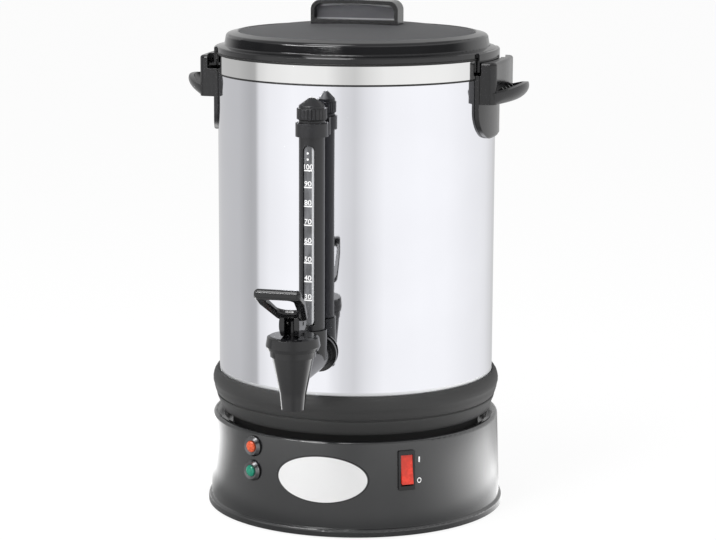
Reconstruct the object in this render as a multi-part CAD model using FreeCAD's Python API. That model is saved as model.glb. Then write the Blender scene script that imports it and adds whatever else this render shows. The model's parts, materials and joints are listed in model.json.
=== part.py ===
"""Filter coffee urn: a steel tank with a gauge and tap in front, on a moulded base with switch and lamps.

Millimetres. +Z is up and the origin lies on the tank's axis at table level. The tap points to -Y,
the side handles to +X and -X. One solid or group of like solids is written per named piece.
"""
import FreeCAD, Part
import math
import os
from FreeCAD import Vector

# Clearances
SLIP = 0.2             # between loose neighbours that touch in use
RUNNING = 0.05         # radial play of a pin or shaft in its hole
SEAT_GAP = 0.3         # between curved faces laid on each other
SCREW_PLAY = 0.1       # a screw's shank in its hole
HALF_TURN = 180.0
FULL_TURN = 360.0

# Base, up from the table
TANK_RADIUS = 145.0
WALL_FOOT_RADIUS = TANK_RADIUS + 9.4
WALL_HEAD_RADIUS = TANK_RADIUS + 6.4
FLANGE_RADIUS = WALL_FOOT_RADIUS + 3.1
FLANGE_BOTTOM = 1.2
FLANGE_TOP = 8.0
BASE_TOP = 100.4
BASE_WALL = 3.0
RING_INNER_RADIUS = WALL_HEAD_RADIUS - 11.4
RING_DIP = 4.0
LEDGE_DROP = 13.4
LEDGE_TOP = BASE_TOP - LEDGE_DROP
LEDGE_THICKNESS = 3.4
LEDGE_INNER_RADIUS = RING_INNER_RADIUS - 20.5
PLATE_BOTTOM = 3.0
PLATE_THICKNESS = 1.5
PLATE_RADIUS = WALL_FOOT_RADIUS - 5.1
FOOT_COUNT = 4
FOOT_CIRCLE = PLATE_RADIUS - 23.3
FOOT_RADIUS = 11.0
FOOT_STEM_RADIUS = 3.0
VENT_COUNT = 12
VENT_START = 40.0
VENT_LENGTH = 40.0
VENT_WIDTH = 4.0

# Collar between base and tank
COLLAR_FOOT = BASE_TOP + 2.2
COLLAR_HEIGHT = 48.6
COLLAR_TOP = COLLAR_FOOT + COLLAR_HEIGHT
COLLAR_BULGE = TANK_RADIUS + 7.4
COLLAR_LIP = RING_INNER_RADIUS - 2.3
COLLAR_WALL = 3.0
NECK_RADIUS = COLLAR_LIP - 6.7
NECK_FOOT_HEIGHT = 6.0
COLLAR_SCREW_CIRCLE = LEDGE_INNER_RADIUS + 6.0
SMALL_SCREW_RADIUS = 2.0

# Tank
STEEL = 0.8
TANK_BOTTOM = COLLAR_TOP - 2.8
FLOOR_RISE = 23.6
FLOOR_TOP = TANK_BOTTOM + FLOOR_RISE
TANK_HEIGHT = 329.4
TANK_TOP = TANK_BOTTOM + TANK_HEIGHT
WELL_RADIUS = 36.0
WELL_DEPTH = 11.2
FLOOR_RIM_HEIGHT = 12.0
BAND_HEIGHT = 17.8
BAND_BOTTOM = TANK_TOP - BAND_HEIGHT
BAND_STEEL = 0.65
BAND_TOP = TANK_TOP + 0.6
RIM_LIP = 2.2

# Lid
LID_BOTTOM = BAND_TOP + 2.0
LID_RADIUS = TANK_RADIUS + 0.8
LID_WALL_RADIUS = LID_RADIUS - 8.0
LID_FLANGE_HEIGHT = 4.6
LID_SHOULDER = LID_BOTTOM + 17.8
LID_CREASE_RADIUS = LID_WALL_RADIUS - 13.8
LID_CREASE_TOP = LID_SHOULDER + 3.4
LID_TOP = LID_CREASE_TOP + 8.4
LID_CROWN_RADIUS = 420.0
LID_WALL = 3.0
PLUG_DEPTH = 10.0
PLUG_GAP = 1.6
LUG_HALF_ANGLE = 19.5
LUG_RADIUS = TANK_RADIUS + 3.8
LUG_THICKNESS = 2.2
LUG_DROP = 14.0
LUG_FOOT_LENGTH = 5.1
LUG_FOOT_THICKNESS = 2.3
LUG_FOOT_ANGLE = 11.0
LOCK_TURN_ANGLE = 12.0
STOP_MARGIN_ANGLE = 0.7
GRIP_LENGTH = 93.0
GRIP_DEPTH = 26.0
GRIP_RISE = 24.6
GRIP_TOP = LID_TOP + GRIP_RISE
GRIP_CROWN_RADIUS = 300.0
GRIP_CORNER = 10.0
GRIP_FRAME = 3.8
GRIP_WEB = 7.0
GRIP_RAIL_TOP = LID_TOP + 4.0
GRIP_SCREW_SPACING = 60.0

# Side handles
SHIELD_THICKNESS = 4.0
SHIELD_HALF_ANGLE = 20.0
SHIELD_DROP = 81.3
SHIELD_BOTTOM = TANK_TOP - SHIELD_DROP
SHIELD_CORNER = 30.0
TOWER_HALF_WIDTH = 49.5
TOWER_TOP = TANK_TOP - 1.4
TOWER_HEIGHT = 42.6
TOWER_BOTTOM = TOWER_TOP - TOWER_HEIGHT
TOWER_REACH = TANK_RADIUS + 15.3
TOWER_CORNER_REACH = TOWER_REACH - 3.5
TOWER_BOW_RADIUS = 260.0
TOWER_CORNER = 7.0
TOWER_EDGE = 3.0
SLOT_DEPTH = 13.4
SLOT_BOTTOM = TOWER_TOP - SLOT_DEPTH
LEG_SLOT_RADIUS = TANK_RADIUS + 5.3
SLOT_OUTER_RADIUS = LEG_SLOT_RADIUS + 5.5
LIP_THICKNESS = 5.6
LIP_BOTTOM = TOWER_TOP - LIP_THICKNESS
DISH_DEPTH = 21.3
DISH_REACH = TOWER_REACH + DISH_DEPTH
DISH_HEIGHT = 21.0
DISH_TOP = TOWER_BOTTOM + DISH_HEIGHT
DISH_FLOOR = TOWER_BOTTOM + 8.0
RIM_DROP = 10.0
RIM_APEX = 3.5
RIM_BOW_RADIUS = 150.0
RIB_COUNT = 4
RIB_WIDTH = 2.0
HANDLE_SCREW_HEIGHT = TOWER_BOTTOM + 14.0
HANDLE_SCREW_ANGLE = 8.0
HANDLE_SCREW_RADIUS = 2.5
HANDLE_SCREW_HEAD = 5.0

# Tap
TAP_STANDOFF = 100.0
TAP_REACH = TANK_RADIUS + TAP_STANDOFF
PIPE_HEIGHT = FLOOR_TOP + 18.0
PIPE_RADIUS = 14.0
PIPE_BORE = 6.5
TAP_FLANGE_RADIUS = 18.5
TAP_FLANGE_THICKNESS = 4.0
GASKET_THICKNESS = 2.6
THREAD_RADIUS = 9.4
THREAD_REACH = 16.0
LOCKNUT_WIDTH = 27.0
LOCKNUT_THICKNESS = 7.0
INNER_GASKET_THICKNESS = 5.0
SPOUT_DROP = 35.0
SPOUT_BOTTOM = PIPE_HEIGHT - SPOUT_DROP
SPOUT_RADIUS = 11.4
SPOUT_BORE = 9.0
SPOUT_WAIST_HEIGHT = SPOUT_BOTTOM + 15.0
SPOUT_WAIST_RADIUS = SPOUT_RADIUS + 1.4
SPOUT_FLARE_RADIUS = 40.0
CHAMBER_BORE = 13.0
CHAMBER_RADIUS = CHAMBER_BORE + 7.6
CHAMBER_SHOULDER = PIPE_HEIGHT + 17.5
TAP_RING_RADIUS = CHAMBER_RADIUS + 2.1
TAP_RING_TOP = CHAMBER_SHOULDER + 6.5
TAP_NECK_RADIUS = TAP_RING_RADIUS - 1.3
TAP_NECK_HEIGHT = 9.4
TAP_NECK_TOP = TAP_RING_TOP + TAP_NECK_HEIGHT
SEAT_HEIGHT = PIPE_HEIGHT - PIPE_BORE - 0.5
SEAT_BORE = 7.0
SEAT_THICKNESS = 3.0
BONNET_RADIUS = TAP_NECK_RADIUS + 5.1
BONNET_HEIGHT = 14.0
BONNET_TOP = TAP_RING_TOP + BONNET_HEIGHT
BONNET_PLATE = 4.0
BONNET_BOSS = 3.0
STEM_RADIUS = 4.8
STEM_FOOT_RADIUS = 6.4
STEM_COLLAR_RADIUS = 9.2
STEM_COLLAR_HEIGHT = 9.2
STEM_COLLAR_THICKNESS = 1.6
SPRING_WIRE = 1.4
CUP_RADIUS = 10.0
CUP_FLOOR = 3.2
PIN_RADIUS = 2.0
CAM_BASE = 11.8
PIN_HEIGHT = BONNET_TOP + SLIP + CAM_BASE
LEVER_WIDTH = 20.4
LEVER_BARREL_RADIUS = 34.0
STEM_LIFT = 3.0
LEVER_TILT_ANGLE = 28.0
LEVER_SLOPE_ANGLE = 30.0
LOOP_START_OUT = 6.0
LOOP_START_UP = 8.7
LOOP_REACH = 60.0
LOOP_WIDTH = 46.0
LOOP_BACK = 10.0
LOOP_BACK_WIDTH = 29.0
LOOP_THICKNESS = 5.5
LOOP_EDGE = 2.0
BAR_RADIUS = 5.0
BAR_RISE = 1.5
LOOP_HOLE_WIDTH = 28.0
LOOP_HOLE_BACK_WIDTH = 19.0
LOOP_HOLE_LENGTH = 40.0

# Level gauge
GAUGE_STANDOFF = 32.0
GAUGE_REACH = TANK_RADIUS + GAUGE_STANDOFF
SOCKET_RADIUS = 15.0
SOCKET_TOP = PIPE_HEIGHT + 30.5
SOCKET_FLOOR = PIPE_HEIGHT + 13.0
SOCKET_FEED_RADIUS = 3.0
GLASS_RADIUS = 6.0
GLASS_WALL = 1.3
SHROUD_RADIUS = 12.75
SHROUD_BORE = 8.8
SHROUD_LENGTH = 208.1
SHROUD_TOP = SOCKET_TOP + SHROUD_LENGTH
GLASS_TOP = SHROUD_TOP - 4.6
SLOT_WIDTH = 11.9
GAUGE_SLOT_BOTTOM = SOCKET_TOP + 5.5
GAUGE_SLOT_TOP = SHROUD_TOP - 24.1
CLIP_RADIUS = SHROUD_RADIUS + 3.4
CLIP_HEIGHT = 13.4
CLIP_TOP = SHROUD_TOP - 2.6
CLIP_BOTTOM = CLIP_TOP - CLIP_HEIGHT
CLIP_PAD_WIDTH = 20.0
CLIP_PAD_THICKNESS = 3.0
CAP_RADIUS = SHROUD_RADIUS + 2.15
CAP_RING_HEIGHT = 10.8
CAP_CONE_RADIUS = CAP_RADIUS - 2.0
CAP_CONE_BASE = 2.6
CAP_TOP = SHROUD_TOP + 22.4
CAP_SEAL_THICKNESS = 0.8
FLUTE_COUNT = 24
FLUTE_DEPTH = 0.7

# Filter assembly inside the tank
TUBE_RADIUS = 6.0
TUBE_WALL = 1.0
TUBE_TOP = TANK_TOP - 11.8
BELL_RADIUS = WELL_RADIUS - 3.0
BELL_HEIGHT = 24.0
BELL_RIM = 6.0
BASKET_RADIUS = 100.0
BASKET_HEIGHT = 66.0
BASKET_BOTTOM = TUBE_TOP - 76.7
SHEET = 1.0
SLEEVE_HEIGHT = 45.0
STOP_WIDTH = 3.4
SIEVE_HOLE_RADIUS = 2.2
SIEVE_PITCH = 25.0
SIEVE_FIRST_RING = 30.0
SIEVE_RING_COUNT = 3
WASHER_RADIUS = BELL_RADIUS - 9.0
WASHER_THICKNESS = 1.2

# Switch, lamps, badge and cable inlet on the base
SWITCH_ANGLE = 34.1
SWITCH_HEIGHT = BASE_TOP - 31.9
SWITCH_WIDTH = 18.0
SWITCH_LENGTH = 41.0
SWITCH_FRAME = 2.2
SWITCH_FLANGE = 2.0
SWITCH_BODY_DEPTH = 22.0
ROCKER_WIDTH = 12.4
ROCKER_LENGTH = 30.0
ROCKER_DEPTH = 5.0
ROCKER_PIVOT_RADIUS = 1.5
ROCKER_TILT_ANGLE = 7.0
LAMP_ANGLE = -29.2
LAMP_HEIGHTS = {"amber": BASE_TOP - 15.9, "green": BASE_TOP - 41.4}
LAMP_LENS_RADIUS = 5.8
LAMP_LENS_RISE = 7.0
LAMP_SLEEVE = 1.4
LAMP_SLEEVE_DEPTH = 12.0
LAMP_BEZEL_RADIUS = LAMP_LENS_RADIUS + 5.0
LAMP_BEZEL_HEIGHT = 4.5
BADGE_ANGLE = 1.2
BADGE_WIDTH = 95.6
BADGE_HEIGHT = 48.6
BADGE_CENTRE = BASE_TOP - 40.8
BADGE_THICKNESS = 1.0
GLAND_HEIGHT = 34.0
GLAND_RADIUS = 8.0
GLAND_LENGTH = 16.0
GLAND_NUT_RADIUS = 12.0
GLAND_NUT_THICKNESS = 5.0
CORD_BORE = 3.6

# Heaters and tie rods under the tank
ELEMENT_CIRCLE = 62.0
ELEMENT_RADIUS = 4.0
ROD_CIRCLE = 100.0
ROD_RADIUS = 2.5
ROD_COUNT = 3
NUT_RADIUS = 4.6
NUT_THICKNESS = 4.0
CLAMP_TOP = FLOOR_TOP - 13.6
CLAMP_THICKNESS = 2.0
CLAMP_ARM_WIDTH = 18.0
CLAMP_ARM_END = 12.0
HEATER_WIDTH = 8.2

ORIGIN = Vector(0, 0, 0)
UP = Vector(0, 0, 1)
FRONT = Vector(0, -1, 0)
SIDE = Vector(1, 0, 0)


def in_space(u, v, plane):
    """A point of the XZ, YZ or XY plane."""
    if plane == "XZ":
        return Vector(u, 0, v)
    if plane == "YZ":
        return Vector(0, u, v)
    return Vector(u, v, 0)


def outline(corners, plane="XZ"):
    """A closed wire through corners (u, v) or (u, v, radius), each radius rounding its corner."""
    points = [in_space(corner[0], corner[1], plane) for corner in corners]
    radii = [corner[2] if len(corner) > 2 else 0 for corner in corners]
    starts, middles, ends = [], [], []
    for i, point in enumerate(points):
        if not radii[i]:
            starts.append(point)
            middles.append(None)
            ends.append(point)
            continue
        back = (points[i - 1] - point).normalize()
        ahead = (points[(i + 1) % len(points)] - point).normalize()
        half = back.getAngle(ahead) / 2
        reach = radii[i] / math.tan(half)
        inward = (back + ahead).normalize()
        centre = point + inward * (radii[i] / math.sin(half))
        starts.append(point + back * reach)
        middles.append(centre - inward * radii[i])
        ends.append(point + ahead * reach)
    edges = []
    for i, middle in enumerate(middles):
        if middle is not None:
            edges.append(Part.Arc(starts[i], middle, ends[i]).toShape())
        following = starts[(i + 1) % len(starts)]
        if (ends[i] - following).Length > 1e-6:
            edges.append(Part.makeLine(ends[i], following))
    return Part.Wire(edges)


def outward(shape):
    """The shape with its faces pointing outwards."""
    if shape.Volume < 0:
        shape = shape.copy()
        shape.reverse()
    return shape


def turned(corners, start=0.0, sweep=FULL_TURN):
    """A section in the XZ plane revolved about Z, from an angle at +X."""
    face = Part.Face(outline(corners))
    face.rotate(ORIGIN, UP, start)
    return outward(face.revolve(ORIGIN, UP, sweep))


def extruded(corners, plane, direction, offset=ORIGIN):
    """An outline pushed along a vector, from an offset place."""
    face = Part.Face(outline(corners, plane))
    face.translate(offset)
    return outward(face.extrude(direction))


def rod(radius, length, at, direction=UP):
    """A cylinder that starts at a point and runs along a direction."""
    return Part.makeCylinder(radius, length, at, direction)


def prism(radius, sides, height, at=ORIGIN):
    """An upright prism with a regular outline, such as a nut."""
    points = []
    for i in range(sides):
        angle = math.radians(FULL_TURN * i / sides)
        points.append((radius * math.cos(angle), radius * math.sin(angle)))
    return extruded(points, "XY", UP * height, at)


def tube(outer, inner, bottom, top):
    """A ring about Z."""
    return turned([(inner, bottom), (outer, bottom), (outer, top), (inner, top)])


def block(low, high):
    """A box between two corners."""
    size = Vector(*high) - Vector(*low)
    return Part.makeBox(size.x, size.y, size.z, Vector(*low))


def spun(shape, degrees):
    """A copy turned about Z."""
    copy = shape.copy()
    copy.rotate(ORIGIN, UP, degrees)
    return copy


def moved(shape, x, y, z):
    """A copy moved by a step."""
    copy = shape.copy()
    copy.translate(Vector(x, y, z))
    return copy


def joined(shapes):
    """Solids that are one piece."""
    return shapes[0].multiFuse(shapes[1:]).removeSplitter()


def without(shape, tools):
    """A solid less all the tools."""
    return shape.cut(tools)


def around(shape, count, start=0.0):
    """Evenly spaced copies about Z."""
    return [spun(shape, start + FULL_TURN * i / count) for i in range(count)]


def wall_radius(height):
    """Outer radius of the base's leaning wall at a height."""
    share = (height - FLANGE_TOP) / (BASE_TOP - FLANGE_TOP)
    return WALL_FOOT_RADIUS + share * (WALL_HEAD_RADIUS - WALL_FOOT_RADIUS)


def wall_shell(inside, outside, low, high):
    """A ring that follows the base's leaning wall between two offsets from its face."""
    return turned([
        (wall_radius(low) + inside, low),
        (wall_radius(low) + outside, low),
        (wall_radius(high) + outside, high),
        (wall_radius(high) + inside, high),
    ])


def oval(width, height):
    """The badge's elliptical prism, pushed out through the base's front."""
    curve = Part.Ellipse(ORIGIN, width / 2, height / 2)
    face = Part.Face(Part.Wire([curve.toShape()]))
    face.rotate(ORIGIN, SIDE, 90)
    face.translate(Vector(0, -WALL_HEAD_RADIUS / 2, BADGE_CENTRE))
    return spun(outward(face.extrude(FRONT * WALL_HEAD_RADIUS)), BADGE_ANGLE)


# Base

def base_housing():
    """The moulded base: foot flange, leaning wall, top ring and the ledge that carries the collar."""
    lip = RING_INNER_RADIUS + BASE_WALL
    skirt = WALL_FOOT_RADIUS - BASE_WALL
    plate_seat = PLATE_BOTTOM + PLATE_THICKNESS + SLIP
    shell = turned([
        (FLANGE_RADIUS, FLANGE_BOTTOM),
        (FLANGE_RADIUS, FLANGE_TOP, 3.0),
        (WALL_FOOT_RADIUS, FLANGE_TOP + 1.5),
        (WALL_HEAD_RADIUS, BASE_TOP, 3.5),
        (RING_INNER_RADIUS, BASE_TOP - RING_DIP, 2.0),
        (RING_INNER_RADIUS, LEDGE_TOP),
        (LEDGE_INNER_RADIUS, LEDGE_TOP),
        (LEDGE_INNER_RADIUS, LEDGE_TOP - LEDGE_THICKNESS),
        (lip, LEDGE_TOP - LEDGE_THICKNESS),
        (lip, BASE_TOP - RING_DIP - BASE_WALL + 1.0),
        (WALL_HEAD_RADIUS - BASE_WALL, BASE_TOP - BASE_WALL),
        (skirt, FLANGE_TOP + BASE_WALL),
        (skirt - 5.0, FLANGE_TOP + BASE_WALL),
        (skirt - 5.0, plate_seat),
        (PLATE_RADIUS + SLIP, plate_seat),
        (PLATE_RADIUS + SLIP, FLANGE_BOTTOM),
    ])
    ledge_holes = around(
        rod(SMALL_SCREW_RADIUS + SCREW_PLAY, 3 * LEDGE_THICKNESS,
            Vector(COLLAR_SCREW_CIRCLE, 0, LEDGE_TOP - 2 * LEDGE_THICKNESS)), FOOT_COUNT, 45.0)
    tools = [switch_cutout()] + lamp_holes() + [badge_recess(), gland_hole()] + ledge_holes
    return without(shell, tools)


def badge_recess():
    """The shallow oval bed that the badge lies in."""
    bed = wall_shell(-BADGE_THICKNESS / 2 - SLIP, 2.0, FLANGE_TOP + 4, BASE_TOP - 4)
    return oval(BADGE_WIDTH + 2 * SEAT_GAP, BADGE_HEIGHT + 2 * SEAT_GAP).common(bed)


def badge():
    """A bare oval badge, bent to the wall."""
    sheet = wall_shell(-BADGE_THICKNESS / 2, BADGE_THICKNESS / 2, FLANGE_TOP + 4, BASE_TOP - 4)
    return oval(BADGE_WIDTH, BADGE_HEIGHT).common(sheet)


def base_plate():
    """The steel bottom plate with its vents."""
    plate = rod(PLATE_RADIUS, PLATE_THICKNESS, Vector(0, 0, PLATE_BOTTOM))
    deep = 3 * PLATE_BOTTOM
    foot_holes = around(rod(FOOT_STEM_RADIUS + RUNNING, deep, Vector(FOOT_CIRCLE, 0, 0)), FOOT_COUNT, 45.0)
    rod_holes = around(rod(ROD_RADIUS + SCREW_PLAY, deep, Vector(ROD_CIRCLE, 0, 0)), ROD_COUNT, 90.0)
    vents = around(block((VENT_START, -VENT_WIDTH / 2, 0), (VENT_START + VENT_LENGTH, VENT_WIDTH / 2, deep)),
                   VENT_COUNT, 15.0)
    return without(plate, foot_holes + rod_holes + vents)


def rubber_feet():
    """Four push-in feet."""
    plate_top = PLATE_BOTTOM + PLATE_THICKNESS
    foot = turned([
        (0, 0),
        (FOOT_RADIUS - 1, 0),
        (FOOT_RADIUS, PLATE_BOTTOM - SCREW_PLAY),
        (FOOT_STEM_RADIUS, PLATE_BOTTOM - SCREW_PLAY),
        (FOOT_STEM_RADIUS, plate_top + SCREW_PLAY),
        (FOOT_STEM_RADIUS + 1.6, plate_top + SCREW_PLAY),
        (FOOT_STEM_RADIUS + 0.4, plate_top + 2.4),
        (0, plate_top + 2.4),
    ])
    return around(moved(foot, FOOT_CIRCLE, 0, 0), FOOT_COUNT, 45.0)


# Collar

def lower_collar():
    """The ribbed ring that the tank stands in, with the neck that drops into the base."""
    rebate = TANK_BOTTOM - SLIP
    neck_inner = NECK_RADIUS - COLLAR_WALL
    foot = LEDGE_TOP + SLIP
    shelf = TANK_RADIUS - 3.5
    inside = COLLAR_BULGE - COLLAR_WALL
    ring = turned([
        (shelf, rebate),
        (TANK_RADIUS + SEAT_GAP, rebate),
        (TANK_RADIUS + SEAT_GAP, COLLAR_TOP),
        (TANK_RADIUS + 1.6, COLLAR_TOP),
        (COLLAR_BULGE - 2.4, COLLAR_TOP - 5.7, 3.0),
        (COLLAR_BULGE, COLLAR_TOP - 12.7, 3.5),
        (COLLAR_BULGE, COLLAR_TOP - 19.7, 3.5),
        (COLLAR_BULGE - 3.6, COLLAR_TOP - 30.0),
        (COLLAR_BULGE - 2.8, COLLAR_TOP - 31.6),
        (COLLAR_BULGE - 4.6, COLLAR_TOP - 39.7, 4.0),
        (COLLAR_LIP, COLLAR_FOOT, 2.0),
        (NECK_RADIUS, COLLAR_FOOT + 2.0),
        (NECK_RADIUS, foot),
        (LEDGE_INNER_RADIUS + 0.5, foot),
        (LEDGE_INNER_RADIUS + 0.5, foot + NECK_FOOT_HEIGHT),
        (neck_inner, foot + NECK_FOOT_HEIGHT),
        (neck_inner, COLLAR_FOOT + 2.4 + COLLAR_WALL),
        (COLLAR_LIP - 1.0, COLLAR_FOOT + 1.0 + COLLAR_WALL),
        (inside - 5.2, COLLAR_TOP - 37.2),
        (inside - 3.4, COLLAR_TOP - 29.2),
        (inside, COLLAR_TOP - 18.7),
        (inside, COLLAR_TOP - 13.7),
        (TANK_RADIUS + 2.2, COLLAR_TOP - 6.8),
        (shelf, COLLAR_TOP - 6.0),
    ])
    holes = around(
        rod(SMALL_SCREW_RADIUS + SCREW_PLAY, 4.6, Vector(COLLAR_SCREW_CIRCLE, 0, foot - SLIP)),
        FOOT_COUNT, 45.0)
    return without(ring, holes)


def collar_screws():
    """Four screws up through the base's ledge into the collar's neck."""
    under = LEDGE_TOP - LEDGE_THICKNESS
    screw = joined([
        rod(SMALL_SCREW_RADIUS, LEDGE_THICKNESS + SLIP + 4.0, Vector(COLLAR_SCREW_CIRCLE, 0, under)),
        rod(3.8, 2.4, Vector(COLLAR_SCREW_CIRCLE, 0, under - 2.4)),
    ])
    return around(screw, FOOT_COUNT, 45.0)


# Tank

def tank_body():
    """The tank's single steel wall, rolled and seam-welded."""
    wall = tube(TANK_RADIUS, TANK_RADIUS - STEEL, TANK_BOTTOM, TANK_TOP)
    start = FRONT * (TANK_RADIUS - THREAD_RADIUS)
    tap_hole = rod(THREAD_RADIUS + SEAT_GAP, 2 * THREAD_RADIUS, start + UP * PIPE_HEIGHT, FRONT)
    clip_hole = rod(SMALL_SCREW_RADIUS + SCREW_PLAY, 2 * THREAD_RADIUS,
                    start + UP * clip_screw_height(), FRONT)
    return without(wall, [tap_hole, clip_hole] + handle_screw_holes())


def tank_floor():
    """The drawn floor, its turned-down rim welded inside the wall, with the well for the pump's foot."""
    rim = TANK_RADIUS - STEEL - RUNNING
    well_floor = FLOOR_TOP - WELL_DEPTH
    return turned([
        (0, well_floor),
        (WELL_RADIUS - 0.4, well_floor),
        (WELL_RADIUS, FLOOR_TOP),
        (rim, FLOOR_TOP, 2.0),
        (rim, FLOOR_TOP - FLOOR_RIM_HEIGHT),
        (rim - STEEL, FLOOR_TOP - FLOOR_RIM_HEIGHT),
        (rim - STEEL, FLOOR_TOP - STEEL, 1.2),
        (WELL_RADIUS + STEEL, FLOOR_TOP - STEEL),
        (WELL_RADIUS + STEEL - 0.4, well_floor - STEEL),
        (0, well_floor - STEEL),
    ])


def handle_screw_holes():
    """Radial holes for both handles' screws, through the wall and into the handles."""
    inside = TANK_RADIUS - 3 * HANDLE_SCREW_HEAD
    hole = rod(HANDLE_SCREW_RADIUS + SCREW_PLAY, LEG_SLOT_RADIUS + 5.2 - inside,
               Vector(inside, 0, HANDLE_SCREW_HEIGHT), SIDE)
    return [spun(hole, side + angle)
            for side in (0, HALF_TURN) for angle in (-HANDLE_SCREW_ANGLE, HANDLE_SCREW_ANGLE)]


def handle_screws():
    """Four domed screws put in from inside the tank."""
    seat = TANK_RADIUS - STEEL - SLIP
    head = turned([
        (0, 0),
        (HANDLE_SCREW_HEAD, 0),
        (HANDLE_SCREW_HEAD, 0.8),
        (HANDLE_SCREW_RADIUS, 2.6),
        (0, 2.6),
    ])
    head.rotate(ORIGIN, Vector(0, 1, 0), -90)
    head.translate(Vector(seat, 0, HANDLE_SCREW_HEIGHT))
    shank = rod(HANDLE_SCREW_RADIUS, LEG_SLOT_RADIUS + 4.7 - seat, Vector(seat, 0, HANDLE_SCREW_HEIGHT), SIDE)
    screw = joined([head, shank])
    return [spun(screw, side + angle)
            for side in (0, HALF_TURN) for angle in (-HANDLE_SCREW_ANGLE, HANDLE_SCREW_ANGLE)]


def rim_band():
    """The steel band that is rolled over the tank's mouth."""
    inner = TANK_RADIUS + RUNNING
    return turned([
        (inner, BAND_BOTTOM),
        (inner + BAND_STEEL, BAND_BOTTOM),
        (inner + BAND_STEEL, BAND_TOP - 0.4),
        (inner + BAND_STEEL - 0.4, BAND_TOP),
        (inner - RIM_LIP, BAND_TOP),
        (inner - RIM_LIP, TANK_TOP + RUNNING),
        (inner, TANK_TOP + RUNNING),
    ])


# Side handles

def shield():
    """The curved back plate with a rounded foot."""
    face = TANK_RADIUS + SEAT_GAP
    over_band = TANK_RADIUS + BAND_STEEL + RUNNING + SEAT_GAP
    outer = face + SHIELD_THICKNESS
    plate = turned([
        (face, SHIELD_BOTTOM),
        (outer - 1.2, SHIELD_BOTTOM),
        (outer, SHIELD_BOTTOM + 2.0),
        (outer, SLOT_BOTTOM),
        (over_band, SLOT_BOTTOM),
        (over_band, BAND_BOTTOM - 0.7),
        (face, BAND_BOTTOM - 0.7),
    ], -SHIELD_HALF_ANGLE - 4, 2 * SHIELD_HALF_ANGLE + 8)
    half = outer * math.sin(math.radians(SHIELD_HALF_ANGLE))
    front = extruded([
        (-half, SLOT_BOTTOM + 1),
        (half, SLOT_BOTTOM + 1),
        (half, SHIELD_BOTTOM, SHIELD_CORNER),
        (-half, SHIELD_BOTTOM, SHIELD_CORNER),
    ], "YZ", SIDE * 2 * TANK_RADIUS)
    return plate.common(front)


def tower():
    """The block over the shield, with the slot that the lid's lug drops into and turns in."""
    plan = extruded([
        (TANK_RADIUS - 8, -TOWER_HALF_WIDTH),
        (TOWER_CORNER_REACH, -TOWER_HALF_WIDTH, TOWER_CORNER),
        (TOWER_REACH, 0, TOWER_BOW_RADIUS),
        (TOWER_CORNER_REACH, TOWER_HALF_WIDTH, TOWER_CORNER),
        (TANK_RADIUS - 8, TOWER_HALF_WIDTH),
    ], "XY", UP * (TOWER_TOP - TOWER_BOTTOM), UP * TOWER_BOTTOM)
    top_edges = [edge for edge in plan.Edges
                 if edge.BoundBox.ZMin > TOWER_TOP - 0.1 and edge.BoundBox.XMax > TANK_RADIUS]
    plan = plan.makeFillet(TOWER_EDGE, top_edges)
    below_band = BAND_BOTTOM - 0.7
    mouth = rod(SLOT_OUTER_RADIUS, TOWER_HEIGHT, UP * SLOT_BOTTOM)
    lower = rod(TANK_RADIUS + SEAT_GAP, TOWER_HEIGHT, UP * (below_band - TOWER_HEIGHT))
    upper = rod(TANK_RADIUS + BAND_STEEL + RUNNING + SEAT_GAP, TOWER_HEIGHT, UP * below_band)
    lock = LUG_HALF_ANGLE - LUG_FOOT_ANGLE
    keep_start = lock - LOCK_TURN_ANGLE
    lip = turned([
        (LEG_SLOT_RADIUS, LIP_BOTTOM),
        (SLOT_OUTER_RADIUS + 1, LIP_BOTTOM),
        (SLOT_OUTER_RADIUS + 1, TOWER_TOP),
        (LEG_SLOT_RADIUS, TOWER_TOP),
    ], keep_start - 1, LOCK_TURN_ANGLE + 1 - STOP_MARGIN_ANGLE)
    stop = turned([
        (LEG_SLOT_RADIUS, SLOT_BOTTOM - 1),
        (SLOT_OUTER_RADIUS + 1, SLOT_BOTTOM - 1),
        (SLOT_OUTER_RADIUS + 1, TOWER_TOP),
        (LEG_SLOT_RADIUS, TOWER_TOP),
    ], -SHIELD_HALF_ANGLE, SHIELD_HALF_ANGLE + keep_start - STOP_MARGIN_ANGLE)
    keep = joined([lip, stop]).common(plan)
    return joined([without(plan, [mouth, lower, upper]), keep])


def dish_section(height, half_width, tip):
    """One level of the grip: straight behind, bowed in front."""
    back = TANK_RADIUS + SEAT_GAP + SHIELD_THICKNESS + 0.7
    root = TOWER_CORNER_REACH - 0.8
    corners = [Vector(back, half_width, height), Vector(back, -half_width, height),
               Vector(root, -half_width, height), Vector(root, half_width, height)]
    return Part.Wire([
        Part.makeLine(corners[0], corners[1]),
        Part.makeLine(corners[1], corners[2]),
        Part.Arc(corners[2], Vector(tip, 0, height), corners[3]).toShape(),
        Part.makeLine(corners[3], corners[0]),
    ])


def dish():
    """The bowed grip with its turned-up rim and finger hollow."""
    half = TOWER_HALF_WIDTH
    middle = (TOWER_BOTTOM + DISH_TOP) / 2
    outside = Part.makeLoft([
        dish_section(TOWER_BOTTOM, half - 6, DISH_REACH - 17),
        dish_section(TOWER_BOTTOM + 3.5, half - 3, DISH_REACH - 8),
        dish_section(middle, half - 1, DISH_REACH - 1.2),
        dish_section(DISH_TOP - 5, half, DISH_REACH),
        dish_section(DISH_TOP, half - 1.2, DISH_REACH - 2.2),
    ], True, False)
    hollow = Part.makeLoft([
        dish_section(DISH_FLOOR, half - 10, DISH_REACH - 17),
        dish_section(DISH_FLOOR + 5, half - 6, DISH_REACH - 9),
        dish_section(DISH_TOP + 1, half - 5, DISH_REACH - 5.5),
    ], True, False)
    return without(outward(outside), [outward(hollow), over_rim()])


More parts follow.
